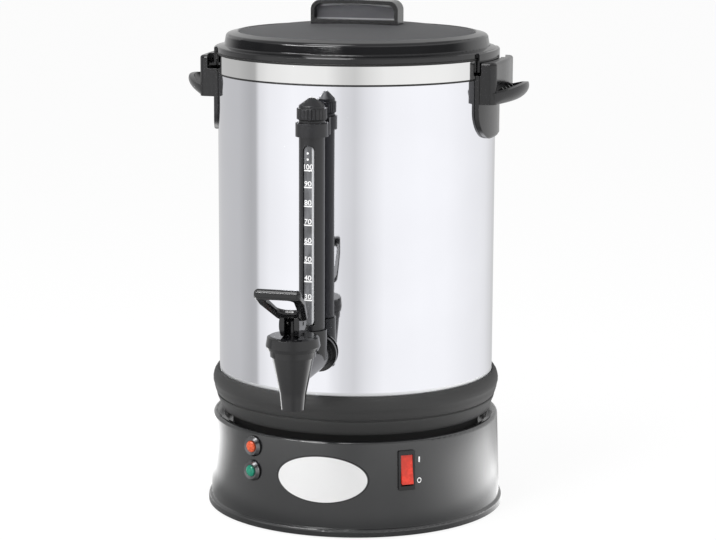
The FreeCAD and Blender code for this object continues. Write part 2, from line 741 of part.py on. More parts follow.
def over_rim():
    """The space over the grip's rim, which is high in the middle and low at both ends."""
    end = TOWER_HALF_WIDTH + 2
    return extruded([
        (-end, DISH_TOP + 2 * RIM_APEX),
        (-end, DISH_TOP - RIM_DROP),
        (0, DISH_TOP + RIM_APEX, RIM_BOW_RADIUS),
        (end, DISH_TOP - RIM_DROP),
        (end, DISH_TOP + 2 * RIM_APEX),
    ], "YZ", SIDE * 2 * TANK_RADIUS)


def dish_ribs():
    """Small gussets from the tower's face to the hollow's floor."""
    web = extruded([
        (TANK_RADIUS + 10, DISH_FLOOR - 1),
        (TOWER_REACH + 6, DISH_FLOOR - 1),
        (TOWER_REACH + 5, DISH_FLOOR + 1.5),
        (TANK_RADIUS + 10, DISH_TOP - 2),
    ], "XZ", FRONT * -RIB_WIDTH, FRONT * (RIB_WIDTH / 2))
    span = TOWER_HALF_WIDTH - 10
    step = 2 * span / (RIB_COUNT + 1)
    first = step - span
    return [moved(web, 0, first + step * i, 0) for i in range(RIB_COUNT)]


def handle(side):
    """A moulded handle, at +X or turned half round to -X."""
    body = joined([shield(), tower(), dish()] + dish_ribs())
    return spun(without(body, handle_screw_holes()), side)


# Lid

def lid_section_top():
    """The lid's outer line, from its centre to the flange's edge."""
    return [
        (0, LID_TOP),
        (LID_CREASE_RADIUS * 0.55, LID_TOP - 1.6, LID_CROWN_RADIUS),
        (LID_CREASE_RADIUS - 1.4, LID_CREASE_TOP - 0.4),
        (LID_CREASE_RADIUS - 0.6, LID_CREASE_TOP - 1.0),
        (LID_CREASE_RADIUS + 0.8, LID_CREASE_TOP + 0.2),
        (LID_WALL_RADIUS - 1.6, LID_SHOULDER + 1.0, 4.0),
        (LID_WALL_RADIUS + 0.5, LID_BOTTOM + LID_FLANGE_HEIGHT + 2.8, 1.5),
        (LID_RADIUS - 1.0, LID_BOTTOM + LID_FLANGE_HEIGHT + 1.2),
        (LID_RADIUS, LID_BOTTOM + LID_FLANGE_HEIGHT),
    ]


def lid():
    """The moulded lid with the plug that enters the tank and its two locking lugs."""
    plug_outer = TANK_RADIUS - STEEL - PLUG_GAP
    plug_inner = plug_outer - LID_WALL
    shell = turned(lid_section_top() + [
        (LID_RADIUS, LID_BOTTOM),
        (plug_outer, LID_BOTTOM),
        (plug_outer, LID_BOTTOM - PLUG_DEPTH),
        (plug_inner, LID_BOTTOM - PLUG_DEPTH),
        (plug_inner, LID_BOTTOM + LID_WALL),
        (LID_WALL_RADIUS - LID_WALL, LID_BOTTOM + 5.0),
        (LID_WALL_RADIUS - LID_WALL - 0.6, LID_SHOULDER - LID_WALL - 1.0),
        (LID_CREASE_RADIUS - 3, LID_CREASE_TOP - LID_WALL - 1.2),
        (LID_CREASE_RADIUS * 0.55, LID_TOP - LID_WALL - 2.0, LID_CROWN_RADIUS),
        (0, LID_TOP - LID_WALL - 0.4),
    ])
    inner = LUG_RADIUS - LUG_THICKNESS
    leg = turned([
        (plug_outer + 1, LID_BOTTOM + 0.8),
        (plug_outer + 1, LID_BOTTOM + LID_FLANGE_HEIGHT + 1.0),
        (LUG_RADIUS, LID_BOTTOM + LID_FLANGE_HEIGHT + 0.4, 1.5),
        (LUG_RADIUS, LID_BOTTOM - LUG_DROP),
        (inner, LID_BOTTOM - LUG_DROP),
        (inner, LID_BOTTOM + 0.8),
    ], -LUG_HALF_ANGLE, 2 * LUG_HALF_ANGLE)
    foot = turned([
        (inner + 1, LID_BOTTOM - LUG_DROP),
        (LUG_RADIUS + LUG_FOOT_LENGTH, LID_BOTTOM - LUG_DROP),
        (LUG_RADIUS + LUG_FOOT_LENGTH, LID_BOTTOM - LUG_DROP + LUG_FOOT_THICKNESS),
        (inner + 1, LID_BOTTOM - LUG_DROP + LUG_FOOT_THICKNESS),
    ], LUG_HALF_ANGLE - LUG_FOOT_ANGLE, LUG_FOOT_ANGLE)
    lugs = [leg, foot, spun(leg, HALF_TURN), spun(foot, HALF_TURN)]
    return without(joined([shell] + lugs), grip_screw_holes())


def grip_screw_holes():
    """The two upright holes through the lid and into its grip."""
    hole = rod(SMALL_SCREW_RADIUS + SCREW_PLAY, 5 * LID_WALL + 5.0, UP * (LID_TOP - 4 * LID_WALL))
    return [moved(hole, side * GRIP_SCREW_SPACING / 2, 0, 0) for side in (-1, 1)]


def lid_seal():
    """The soft ring between the rim band and the lid's flange."""
    inner = TANK_RADIUS - STEEL - PLUG_GAP + SEAT_GAP
    return turned([
        (inner, BAND_TOP + SLIP),
        (LID_RADIUS - 1.0, BAND_TOP + SLIP),
        (LID_RADIUS - 1.0, LID_BOTTOM - SLIP),
        (inner, LID_BOTTOM - SLIP),
    ])


def lid_grip():
    """The arched grip on the lid: a frame with a closed web set back on both sides."""
    half = GRIP_LENGTH / 2
    frame = extruded([
        (-half, LID_TOP - 6),
        (-half, GRIP_TOP - 1.2, GRIP_CORNER),
        (0, GRIP_TOP, GRIP_CROWN_RADIUS),
        (half, GRIP_TOP - 1.2, GRIP_CORNER),
        (half, LID_TOP - 6),
    ], "XZ", Vector(0, GRIP_DEPTH, 0), Vector(0, -GRIP_DEPTH / 2, 0))
    inside = half - GRIP_FRAME
    pocket_depth = (GRIP_DEPTH - GRIP_WEB) / 2
    pocket = extruded([
        (-inside, GRIP_RAIL_TOP),
        (-inside, GRIP_TOP - 1.2 - GRIP_FRAME, GRIP_CORNER - 3.0),
        (0, GRIP_TOP - GRIP_FRAME, GRIP_CROWN_RADIUS),
        (inside, GRIP_TOP - 1.2 - GRIP_FRAME, GRIP_CORNER - 3.0),
        (inside, GRIP_RAIL_TOP),
    ], "XZ", Vector(0, pocket_depth + 1, 0), Vector(0, GRIP_WEB / 2, 0))
    under = turned([(0, LID_TOP - 30), (LID_CREASE_RADIUS - 1.4, LID_TOP - 30)]
                   + [(r, z + RUNNING, *rest) for r, z, *rest in reversed(lid_section_top()[:3])])
    return without(frame, [pocket, spun(pocket, HALF_TURN), under] + grip_screw_holes())


def lid_grip_screws():
    """Two screws from inside the lid up into the grip."""
    face = LID_TOP - LID_WALL - 2.2
    screw = joined([rod(SMALL_SCREW_RADIUS, 12.0, UP * face), rod(4.0, 2.2, UP * (face - 2.2))])
    return [moved(screw, side * GRIP_SCREW_SPACING / 2, 0, 0) for side in (-1, 1)]


# Tap

def tap_body():
    """The moulded tap: wall thread, pipe, gauge socket, valve chamber and spout, all bored through."""
    spout = turned([
        (0, SPOUT_BOTTOM),
        (SPOUT_RADIUS, SPOUT_BOTTOM),
        (SPOUT_WAIST_RADIUS, SPOUT_WAIST_HEIGHT, SPOUT_FLARE_RADIUS),
        (CHAMBER_RADIUS, CHAMBER_SHOULDER),
        (TAP_RING_RADIUS - 0.6, CHAMBER_SHOULDER),
        (TAP_RING_RADIUS, TAP_RING_TOP),
        (TAP_NECK_RADIUS, TAP_RING_TOP),
        (TAP_NECK_RADIUS, TAP_NECK_TOP),
        (0, TAP_NECK_TOP),
    ])
    flange_face = TANK_RADIUS + SEAT_GAP + GASKET_THICKNESS + SLIP
    pipe_start = Vector(0, -flange_face, PIPE_HEIGHT)
    thread_start = TANK_RADIUS - STEEL - THREAD_REACH
    solid = joined([
        moved(spout, 0, -TAP_REACH, 0),
        rod(PIPE_RADIUS, TAP_REACH - flange_face, pipe_start, FRONT),
        rod(TAP_FLANGE_RADIUS, TAP_FLANGE_THICKNESS, pipe_start, FRONT),
        rod(THREAD_RADIUS, flange_face - thread_start, Vector(0, -thread_start, PIPE_HEIGHT), FRONT),
        rod(SOCKET_RADIUS, SOCKET_TOP - PIPE_HEIGHT, Vector(0, -GAUGE_REACH, PIPE_HEIGHT)),
    ])
    chamber = turned([
        (0, SPOUT_BOTTOM - 1),
        (SPOUT_BORE, SPOUT_BOTTOM - 1),
        (SPOUT_BORE, SEAT_HEIGHT - SEAT_THICKNESS - 2),
        (SEAT_BORE, SEAT_HEIGHT - SEAT_THICKNESS),
        (SEAT_BORE, SEAT_HEIGHT),
        (CHAMBER_BORE, SEAT_HEIGHT),
        (CHAMBER_BORE, TAP_NECK_TOP + 1),
        (0, TAP_NECK_TOP + 1),
    ])
    bores = [
        moved(chamber, 0, -TAP_REACH, 0),
        rod(PIPE_BORE, TAP_REACH - thread_start + 1, Vector(0, 1 - thread_start, PIPE_HEIGHT), FRONT),
        rod(GLASS_RADIUS + SLIP, SOCKET_TOP, Vector(0, -GAUGE_REACH, SOCKET_FLOOR)),
        rod(SOCKET_FEED_RADIUS, SOCKET_TOP - PIPE_HEIGHT, Vector(0, -GAUGE_REACH, PIPE_HEIGHT)),
    ]
    return without(solid, bores)


def curved_washer(radius, bore, near, far, tank_side):
    """A washer on the tap's thread whose one face follows the tank's wall, outside or inside it."""
    start = UP * PIPE_HEIGHT + FRONT * near
    ring = without(rod(radius, far - near, start, FRONT), [rod(bore, far - near, start, FRONT)])
    drum = rod(tank_side, 4 * radius, UP * (PIPE_HEIGHT - 2 * radius))
    return ring.cut(drum) if tank_side > TANK_RADIUS else ring.common(drum)


def tap_gasket():
    """The outer gasket, pressed between the tap's flange and the tank."""
    start = TANK_RADIUS - 3.0
    end = TANK_RADIUS + SEAT_GAP + GASKET_THICKNESS
    return curved_washer(TAP_FLANGE_RADIUS - 1.5, THREAD_RADIUS + RUNNING, start, end, TANK_RADIUS + SLIP)


def tank_gasket():
    """The inner gasket, under the locknut."""
    inside = TANK_RADIUS - STEEL - SLIP
    return curved_washer(LOCKNUT_WIDTH / 2 + 1, THREAD_RADIUS + RUNNING,
                         inside - INNER_GASKET_THICKNESS, inside + 1, inside)


def tap_locknut():
    """The hexagonal nut on the tap's thread inside the tank."""
    end = TANK_RADIUS - STEEL - 2 * SLIP - INNER_GASKET_THICKNESS
    nut = prism(LOCKNUT_WIDTH / math.sqrt(3), 6, LOCKNUT_THICKNESS)
    nut = without(nut, [rod(THREAD_RADIUS + RUNNING, LOCKNUT_THICKNESS, ORIGIN)])
    nut.rotate(ORIGIN, SIDE, -90)
    return moved(nut, 0, -end, PIPE_HEIGHT)


def tap_bonnet():
    """The screwed cap over the valve chamber."""
    inner = TAP_NECK_RADIUS + SLIP
    plate_bottom = BONNET_TOP - BONNET_PLATE
    cap = turned([
        (inner, TAP_RING_TOP + SLIP),
        (BONNET_RADIUS - 1.6, TAP_RING_TOP + SLIP),
        (BONNET_RADIUS, TAP_RING_TOP + 4.0, 3.0),
        (BONNET_RADIUS - 1.4, BONNET_TOP - 1.4),
        (BONNET_RADIUS - 4.0, BONNET_TOP),
        (STEM_RADIUS + RUNNING, BONNET_TOP),
        (STEM_RADIUS + RUNNING, plate_bottom - BONNET_BOSS),
        (STEM_COLLAR_RADIUS - SPRING_WIRE - 2 * SLIP, plate_bottom - BONNET_BOSS),
        (STEM_COLLAR_RADIUS - SPRING_WIRE - 2 * SLIP, plate_bottom),
        (inner, plate_bottom),
    ])
    return moved(cap, 0, -TAP_REACH, 0)


def valve_stem():
    """The stem: foot in the rubber cup, rod through the bonnet, rounded head on the lever's pin."""
    foot = SEAT_HEIGHT + CUP_FLOOR
    head = rod(STEM_RADIUS, 20, UP * PIN_HEIGHT).common(
        rod(STEM_RADIUS + 0.4, 20, Vector(-10, 0, PIN_HEIGHT), SIDE))
    shaft = joined([
        rod(STEM_RADIUS, PIN_HEIGHT - foot, UP * foot),
        head,
        rod(STEM_FOOT_RADIUS, 2.0, UP * foot),
        rod(STEM_COLLAR_RADIUS, STEM_COLLAR_THICKNESS, UP * (foot + STEM_COLLAR_HEIGHT)),
    ])
    hole = rod(PIN_RADIUS + RUNNING, 40, Vector(-20, 0, PIN_HEIGHT), SIDE)
    return moved(without(shaft, [hole]), 0, -TAP_REACH, 0)


def seat_cup():
    """The silicone cup that closes the seat."""
    foot = SEAT_HEIGHT + CUP_FLOOR
    cup = turned([
        (0, SEAT_HEIGHT + SLIP),
        (CUP_RADIUS, SEAT_HEIGHT + SLIP),
        (CUP_RADIUS - 0.8, foot + 4.4),
        (STEM_RADIUS + SLIP, foot + 4.4),
        (STEM_RADIUS + SLIP, foot + 2.0 + SLIP),
        (STEM_FOOT_RADIUS + SLIP, foot + 2.0 + SLIP),
        (STEM_FOOT_RADIUS + SLIP, foot - SLIP),
        (0, foot - SLIP),
    ])
    return moved(cup, 0, -TAP_REACH, 0)


def tap_spring():
    """The sleeve that stands for the spring's coils, between the stem's collar and the bonnet."""
    low = SEAT_HEIGHT + CUP_FLOOR + STEM_COLLAR_HEIGHT + STEM_COLLAR_THICKNESS + SLIP
    high = BONNET_TOP - BONNET_PLATE - SLIP
    sleeve = tube(STEM_COLLAR_RADIUS, STEM_COLLAR_RADIUS - SPRING_WIRE, low, high)
    return moved(sleeve, 0, -TAP_REACH, 0)


def cam_point(angle):
    """A point of the lever's lifting cam, which raises the pin evenly with the tilt."""
    rise = STEM_LIFT / math.radians(LEVER_TILT_ANGLE)
    depth = CAM_BASE + rise * math.radians(angle)
    turn = math.radians(angle)
    out = depth * math.sin(turn) + rise * math.cos(turn)
    down = depth * math.cos(turn) - rise * math.sin(turn)
    return Vector(0, -out, -down)


def lever_cheeks():
    """Both cheeks of the lever, each a round hub with the cam on its outer side."""
    radius = CAM_BASE
    last = cam_point(LEVER_TILT_ANGLE)
    bottom = Vector(0, 0, -radius)
    front = [Vector(0, last.y - 1.5, -4.0), Vector(0, -LOOP_START_OUT - 8.0, LOOP_START_UP - 1.0),
             Vector(0, -LOOP_START_OUT, radius)]
    top = Vector(0, 0, radius)
    edges = [
        Part.makeLine(bottom, cam_point(0)),
        Part.Arc(cam_point(0), cam_point(LEVER_TILT_ANGLE / 2), last).toShape(),
        Part.makeLine(last, front[0]),
        Part.makeLine(front[0], front[1]),
        Part.makeLine(front[1], front[2]),
        Part.makeLine(front[2], top),
        Part.Arc(top, Vector(0, radius, 0), bottom).toShape(),
    ]
    side = outward(Part.Face(Part.Wire(edges)).extrude(SIDE * LEVER_WIDTH))
    side.translate(Vector(-LEVER_WIDTH / 2, 0, 0))
    gap = STEM_RADIUS + SLIP
    space = block((-gap, -30, -30), (gap, 30, 8.0))
    drum = rod(LEVER_BARREL_RADIUS, 80, Vector(0, 40, 0), FRONT)
    shift = LEVER_BARREL_RADIUS - LEVER_WIDTH / 2
    barrel = moved(drum, shift, 0, 0).common(moved(drum, -shift, 0, 0))
    return without(side.common(barrel), [space])


def lever_loop():
    """The open finger loop with its round cross bar, made level and then sloped up."""
    half = LOOP_WIDTH / 2
    back = LOOP_BACK_WIDTH / 2
    shoulder = LOOP_REACH - 22.0
    plate = extruded([
        (-back, LOOP_BACK, 10.0),
        (-half, -shoulder, 20.0),
        (-half, -LOOP_REACH + BAR_RADIUS),
        (half, -LOOP_REACH + BAR_RADIUS),
        (half, -shoulder, 20.0),
        (back, LOOP_BACK, 10.0),
    ], "XY", UP * LOOP_THICKNESS, UP * (-LOOP_THICKNESS / 2))
    hole_half = LOOP_HOLE_WIDTH / 2
    hole_back = LOOP_HOLE_BACK_WIDTH / 2
    hole_front = -LOOP_REACH + 2 * BAR_RADIUS
    hole = extruded([
        (-hole_back, hole_front + LOOP_HOLE_LENGTH, 8.0),
        (-hole_half, hole_front, 5.0),
        (hole_half, hole_front, 5.0),
        (hole_back, hole_front + LOOP_HOLE_LENGTH, 8.0),
    ], "XY", UP * 40, UP * -20)
    ring = without(plate, [hole])
    level_edges = [edge for edge in ring.Edges
                   if edge.BoundBox.ZLength < 0.1 and edge.BoundBox.YMax > -LOOP_REACH + 2 * BAR_RADIUS]
    ring = ring.makeFillet(LOOP_EDGE, level_edges)
    bar = turned([
        (0, -half),
        (BAR_RADIUS, -half, BAR_RADIUS * 0.8),
        (BAR_RADIUS, half, BAR_RADIUS * 0.8),
        (0, half),
    ])
    bar.rotate(ORIGIN, FRONT, 90)
    bar.translate(Vector(0, -LOOP_REACH + BAR_RADIUS, BAR_RISE))
    loop = joined([ring, bar])
    loop.rotate(ORIGIN, SIDE, -LEVER_SLOPE_ANGLE)
    return moved(loop, 0, -LOOP_START_OUT, LOOP_START_UP)


def tap_lever():
    """The lever: cheeks with cams astride the stem's head, and the finger loop."""
    gap = STEM_RADIUS + SLIP
    head_space = rod(STEM_RADIUS + 1.6, 2 * gap, Vector(-gap, 0, 0), SIDE)
    lever = without(joined([lever_cheeks(), lever_loop()]), [head_space])
    hole = rod(PIN_RADIUS, 40, Vector(-20, 0, 0), SIDE)
    return moved(without(lever, [hole]), 0, -TAP_REACH, PIN_HEIGHT)


def lever_pin():
    """The pin through both cheeks and the stem's head."""
    length = LEVER_WIDTH - 2.0
    return rod(PIN_RADIUS, length, Vector(-length / 2, -TAP_REACH, PIN_HEIGHT), SIDE)


# Level gauge

def clip_screw_height():
    """Height of the one screw that holds the gauge's clip."""
    return (CLIP_BOTTOM + CLIP_TOP) / 2


def gauge_glass():
    """The sight glass, standing in the tap's socket."""
    glass = tube(GLASS_RADIUS, GLASS_RADIUS - GLASS_WALL, SOCKET_FLOOR + SLIP, GLASS_TOP)
    return moved(glass, 0, -GAUGE_REACH, 0)


def gauge_shroud():
    """The slotted tube that guards the glass."""
    shell = tube(SHROUD_RADIUS, SHROUD_BORE, SOCKET_TOP + SLIP, SHROUD_TOP)
    slot = extruded([
        (-SLOT_WIDTH / 2, GAUGE_SLOT_BOTTOM, 2.0),
        (-SLOT_WIDTH / 2, GAUGE_SLOT_TOP, SLOT_WIDTH / 2 - 0.05),
        (SLOT_WIDTH / 2, GAUGE_SLOT_TOP, SLOT_WIDTH / 2 - 0.05),
        (SLOT_WIDTH / 2, GAUGE_SLOT_BOTTOM, 2.0),
    ], "XZ", FRONT * 40)
    return moved(without(shell, [slot]), 0, -GAUGE_REACH, 0)


def gauge_clip():
    """The ring clip, its arm and the curved pad that is screwed to the tank."""
    ring = moved(rod(CLIP_RADIUS, CLIP_TOP - CLIP_BOTTOM, UP * CLIP_BOTTOM), 0, -GAUGE_REACH, 0)
    arm = block((-CLIP_PAD_WIDTH / 2 + 4, -GAUGE_REACH, CLIP_BOTTOM + 2),
                (CLIP_PAD_WIDTH / 2 - 4, -TANK_RADIUS, CLIP_TOP - 2))
    pad = block((-CLIP_PAD_WIDTH / 2, -TANK_RADIUS - SEAT_GAP - CLIP_PAD_THICKNESS, CLIP_BOTTOM - 2),
                (CLIP_PAD_WIDTH / 2, -TANK_RADIUS + 10, CLIP_TOP + 2))
    drum = rod(TANK_RADIUS + SEAT_GAP, 60, UP * (CLIP_BOTTOM - 20))
    bore = rod(SHROUD_RADIUS + RUNNING, 60, Vector(0, -GAUGE_REACH, CLIP_BOTTOM - 20))
    hole = rod(SMALL_SCREW_RADIUS + SCREW_PLAY, 10, Vector(0, -TANK_RADIUS, clip_screw_height()), FRONT)
    return without(joined([ring, arm, pad]), [drum, bore, hole])


def clip_screw():
    """The screw from inside the tank into the clip."""
    seat = TANK_RADIUS - STEEL - SLIP
    start = Vector(0, -seat, clip_screw_height())
    return joined([rod(SMALL_SCREW_RADIUS, TANK_RADIUS + 9 - seat, start, FRONT),
                   rod(3.8, 2.2, start - FRONT * 2.2, FRONT)])


def cap_seal():
    """The flat ring under the gauge's cap."""
    ring = tube(SHROUD_RADIUS, GLASS_RADIUS + 3.2, SHROUD_TOP + RUNNING,
                SHROUD_TOP + RUNNING + CAP_SEAL_THICKNESS)
    return moved(ring, 0, -GAUGE_REACH, 0)


def gauge_cap():
    """The fluted screw cap with a pointed crown and the spigot that enters the shroud."""
    bottom = SHROUD_TOP + CAP_SEAL_THICKNESS + 2 * RUNNING
    ring_top = bottom + CAP_RING_HEIGHT
    spigot = SHROUD_BORE - SLIP
    body = turned([
        (0, GLASS_TOP + 1),
        (spigot, GLASS_TOP + 1),
        (spigot, bottom),
        (CAP_RADIUS - 0.4, bottom),
        (CAP_RADIUS, bottom + 0.5),
        (CAP_RADIUS, ring_top - 0.5),
        (CAP_RADIUS - 0.4, ring_top),
        (CAP_CONE_RADIUS, ring_top),
        (CAP_CONE_RADIUS, ring_top + CAP_CONE_BASE, 1.0),
        (2.6, CAP_TOP - 0.6),
        (0, CAP_TOP),
    ])
    flute = prism(2 * FLUTE_DEPTH, 4, CAP_RING_HEIGHT + 2, Vector(CAP_RADIUS + FLUTE_DEPTH, 0, bottom - 1))
    return moved(without(body, around(flute, FLUTE_COUNT)), 0, -GAUGE_REACH, 0)


# Filter assembly

def pump_tube():
    """The riser tube with its stop collar and the bell over the heater well."""
    bore = TUBE_RADIUS - TUBE_WALL
    rim = FLOOR_TOP - WELL_DEPTH + SLIP
    bell = turned([
        (bore, rim + BELL_HEIGHT - 1.4),
        (BELL_RADIUS - 1.4, rim + BELL_RIM - 1.0),
        (BELL_RADIUS - 1.4, rim),
        (BELL_RADIUS, rim),
        (BELL_RADIUS, rim + BELL_RIM),
        (TUBE_RADIUS + 1.5, rim + BELL_HEIGHT),
        (TUBE_RADIUS + 1.0, rim + BELL_HEIGHT + 8),
        (TUBE_RADIUS, rim + BELL_HEIGHT + 8),
        (TUBE_RADIUS, BASKET_BOTTOM - 3),
        (TUBE_RADIUS + STOP_WIDTH, BASKET_BOTTOM - 2.6),
        (TUBE_RADIUS + STOP_WIDTH, BASKET_BOTTOM - SLIP),
        (TUBE_RADIUS, BASKET_BOTTOM - SLIP),
        (TUBE_RADIUS, TUBE_TOP),
        (bore, TUBE_TOP),
    ])
    slots = around(block((BELL_RADIUS - 8, -4, rim - 1), (BELL_RADIUS + 4, 4, rim + 3)), 4)
    return without(bell, slots)


def valve_washer():
    """The loose washer that seals the bell at each boil."""
    floor = FLOOR_TOP - WELL_DEPTH + SLIP
    return tube(WASHER_RADIUS, TUBE_WALL * 3, floor, floor + WASHER_THICKNESS)


def sieve_holes(low, high):
    """Rings of six-sided sieve holes between two levels, evenly spread."""
    holes = []
    for i in range(SIEVE_RING_COUNT):
        ring = SIEVE_FIRST_RING + SIEVE_PITCH * i
        count = round(2 * math.pi * ring / SIEVE_PITCH)
        holes += around(prism(SIEVE_HOLE_RADIUS, 6, high - low, Vector(ring, 0, low)), count)
    return holes


def filter_basket():
    """The coffee basket, with a sieve floor and the sleeve that rides on the tube."""
    top = BASKET_BOTTOM + BASKET_HEIGHT
    sleeve = TUBE_RADIUS + 2 * SLIP
    shell = turned([
        (sleeve, BASKET_BOTTOM),
        (BASKET_RADIUS - 4, BASKET_BOTTOM),
        (BASKET_RADIUS, top - 1.4),
        (BASKET_RADIUS + 2.4, top - 1.4),
        (BASKET_RADIUS + 2.4, top),
        (BASKET_RADIUS - SHEET, top),
        (BASKET_RADIUS - 4 - SHEET, BASKET_BOTTOM + SHEET),
        (sleeve + SHEET, BASKET_BOTTOM + SHEET),
        (sleeve + SHEET, BASKET_BOTTOM + SLEEVE_HEIGHT),
        (sleeve, BASKET_BOTTOM + SLEEVE_HEIGHT),
    ])
    return without(shell, sieve_holes(BASKET_BOTTOM - 1, BASKET_BOTTOM + 3))


def basket_cover():
    """The spreader that lies on the basket and shares out the water."""
    base = BASKET_BOTTOM + BASKET_HEIGHT + SLIP
    sleeve = TUBE_RADIUS + 2 * SLIP
    plate = turned([
        (sleeve, base),
        (BASKET_RADIUS + 2.0, base),
        (BASKET_RADIUS + 2.0, base + 5.0),
        (BASKET_RADIUS + 1.0, base + 5.0),
        (BASKET_RADIUS + 0.6, base + SHEET),
        (sleeve + 5, base + SHEET),
        (sleeve + SHEET, base + 4),
        (sleeve + SHEET, base + 8),
        (sleeve, base + 8),
    ])
    return without(plate, sieve_holes(base - 1, base + 2))


# Heating and electrics

def pump_heater():
    """The ring heater that grips the well."""
    return turned([
        (WELL_RADIUS + STEEL + SEAT_GAP, CLAMP_TOP + RUNNING),
        (WELL_RADIUS + HEATER_WIDTH, CLAMP_TOP + RUNNING),
        (WELL_RADIUS + HEATER_WIDTH, FLOOR_TOP - STEEL - SEAT_GAP),
        (WELL_RADIUS + STEEL + SEAT_GAP, FLOOR_TOP - STEEL - SEAT_GAP),
    ])


def warming_element():
    """The tubular keep-warm ring under the floor, with its two cold ends turned down."""
    height = FLOOR_TOP - STEEL - SEAT_GAP - ELEMENT_RADIUS
    circle = Part.Face(Part.Wire([Part.makeCircle(
        ELEMENT_RADIUS, Vector(ELEMENT_CIRCLE, 0, height), Vector(0, 1, 0))]))
    circle.rotate(ORIGIN, UP, 75)
    ring = outward(circle.revolve(ORIGIN, UP, 330))
    ends = [spun(rod(ELEMENT_RADIUS - 0.5, 26, Vector(ELEMENT_CIRCLE, 0, height - 26)), angle)
            for angle in (77, 43)]
    return joined([ring] + ends)


def heater_clamp():
    """The pressed cross that holds both heaters up against the floor."""
    under = CLAMP_TOP - CLAMP_THICKNESS
    half = CLAMP_ARM_WIDTH / 2
    end = ELEMENT_CIRCLE + CLAMP_ARM_END
    element_under = FLOOR_TOP - STEEL - 2 * ELEMENT_RADIUS - 2 * SEAT_GAP
    arm = joined([
        block((0, -half, under), (end, half, CLAMP_TOP)),
        block((ELEMENT_CIRCLE - 8, -half, under), (end, half, element_under)),
    ])
    hub = rod(WELL_RADIUS + HEATER_WIDTH, CLAMP_THICKNESS, UP * under)
    stud_hole = rod(ROD_RADIUS + SCREW_PLAY, CLAMP_THICKNESS, UP * under)
    return without(joined([hub] + around(arm, 3, 30.0)), [stud_hole])


def clamp_stud():
    """The stud welded under the well and the nut that draws the clamp up."""
    well_under = FLOOR_TOP - WELL_DEPTH - STEEL
    return joined([rod(ROD_RADIUS, 14, UP * (well_under - 14)),
                   rod(5.0, 3.6, UP * (CLAMP_TOP - CLAMP_THICKNESS - 3.7))])


def thermostat(angle, radius):
    """A round snap-disc switch with two blades, pressed up under the floor."""
    top = FLOOR_TOP - STEEL - SLIP
    blades = [block((side * 4 - 0.4, -3, top - 17), (side * 4 + 0.4, 3, top - 8)) for side in (-1, 1)]
    cup = joined([rod(radius, 8, UP * (top - 8)), rod(radius + 3, 1, UP * (top - 4))] + blades)
    return spun(moved(cup, 90, 0, 0), angle)


def tie_rods():
    """Three long studs from the tank's floor to the bottom plate."""
    stud = rod(ROD_RADIUS, FLOOR_TOP - STEEL - PLATE_BOTTOM + 1.4,
               Vector(ROD_CIRCLE, 0, PLATE_BOTTOM - 1.4))
    return around(stud, ROD_COUNT, 90.0)


def tie_nuts():
    """The nuts that pull the tank, collar, base and bottom plate together."""
    top = PLATE_BOTTOM + PLATE_THICKNESS + RUNNING
    nut = prism(NUT_RADIUS, 6, NUT_THICKNESS, UP * top)
    nut = without(nut, [rod(ROD_RADIUS + RUNNING, NUT_THICKNESS, UP * top)])
    return around(moved(nut, ROD_CIRCLE, 0, 0), ROD_COUNT, 90.0)


def terminal_block():
    """The three-way terminal block on the bottom plate."""
    floor = PLATE_BOTTOM + PLATE_THICKNESS
    body = block((-24, 70, floor), (24, 92, floor + 20))
    wells = [rod(3.2, 12, Vector(x, y, floor + 12)) for x in (-15, 0, 15) for y in (76, 86)]
    return without(body, wells)


def gland_hole():
    """The hole in the back of the base for the cable gland."""
    return rod(GLAND_RADIUS + SLIP, 60, Vector(0, WALL_FOOT_RADIUS - 40, GLAND_HEIGHT), -FRONT)


def cable_gland():
    """The flanged bush that the mains lead comes through."""
    face = wall_radius(GLAND_HEIGHT) + SEAT_GAP
    section = turned([
        (CORD_BORE, -GLAND_LENGTH),
        (GLAND_RADIUS, -GLAND_LENGTH),
        (GLAND_RADIUS, 0),
        (GLAND_NUT_RADIUS, 0),
        (GLAND_NUT_RADIUS, 2.4),
        (GLAND_RADIUS, 3.0),
        (GLAND_RADIUS - 1.4, 7.0),
        (CORD_BORE, 7.0),
    ])
    section.rotate(ORIGIN, SIDE, -90)
    return moved(section, 0, face, GLAND_HEIGHT)


def gland_nut():
    """The ring nut on the gland inside the base."""
    inside = wall_radius(GLAND_HEIGHT) - BASE_WALL - 1.5
    start = UP * GLAND_HEIGHT - FRONT * (inside - GLAND_NUT_THICKNESS)
    nut = rod(GLAND_NUT_RADIUS, GLAND_NUT_THICKNESS, start, -FRONT)
    return without(nut, [rod(GLAND_RADIUS + RUNNING, GLAND_NUT_THICKNESS, start, -FRONT)])


# Switch and lamps

def switch_face():
    """How far the flat front of the switch stands from the urn's axis."""
    return wall_radius(SWITCH_HEIGHT) + 0.3


def on_front(shape):
    """A switch piece leaned back with the wall and turned to the switch's place."""
    lean = math.degrees(math.atan((WALL_FOOT_RADIUS - WALL_HEAD_RADIUS) / (BASE_TOP - FLANGE_TOP)))
    shape = shape.copy()
    shape.rotate(Vector(0, -switch_face(), SWITCH_HEIGHT), SIDE, -lean)
    return spun(shape, SWITCH_ANGLE)


def switch_cutout():
    """The window in the base for the switch's body."""
    half = SWITCH_WIDTH / 2 - SWITCH_FRAME / 2
    tall = SWITCH_LENGTH / 2 - SWITCH_FRAME / 2
    window = block((-half - SLIP, -switch_face() - 10, SWITCH_HEIGHT - tall - SLIP),
                   (half + SLIP, -switch_face() + 30, SWITCH_HEIGHT + tall + SLIP))
    return on_front(window)


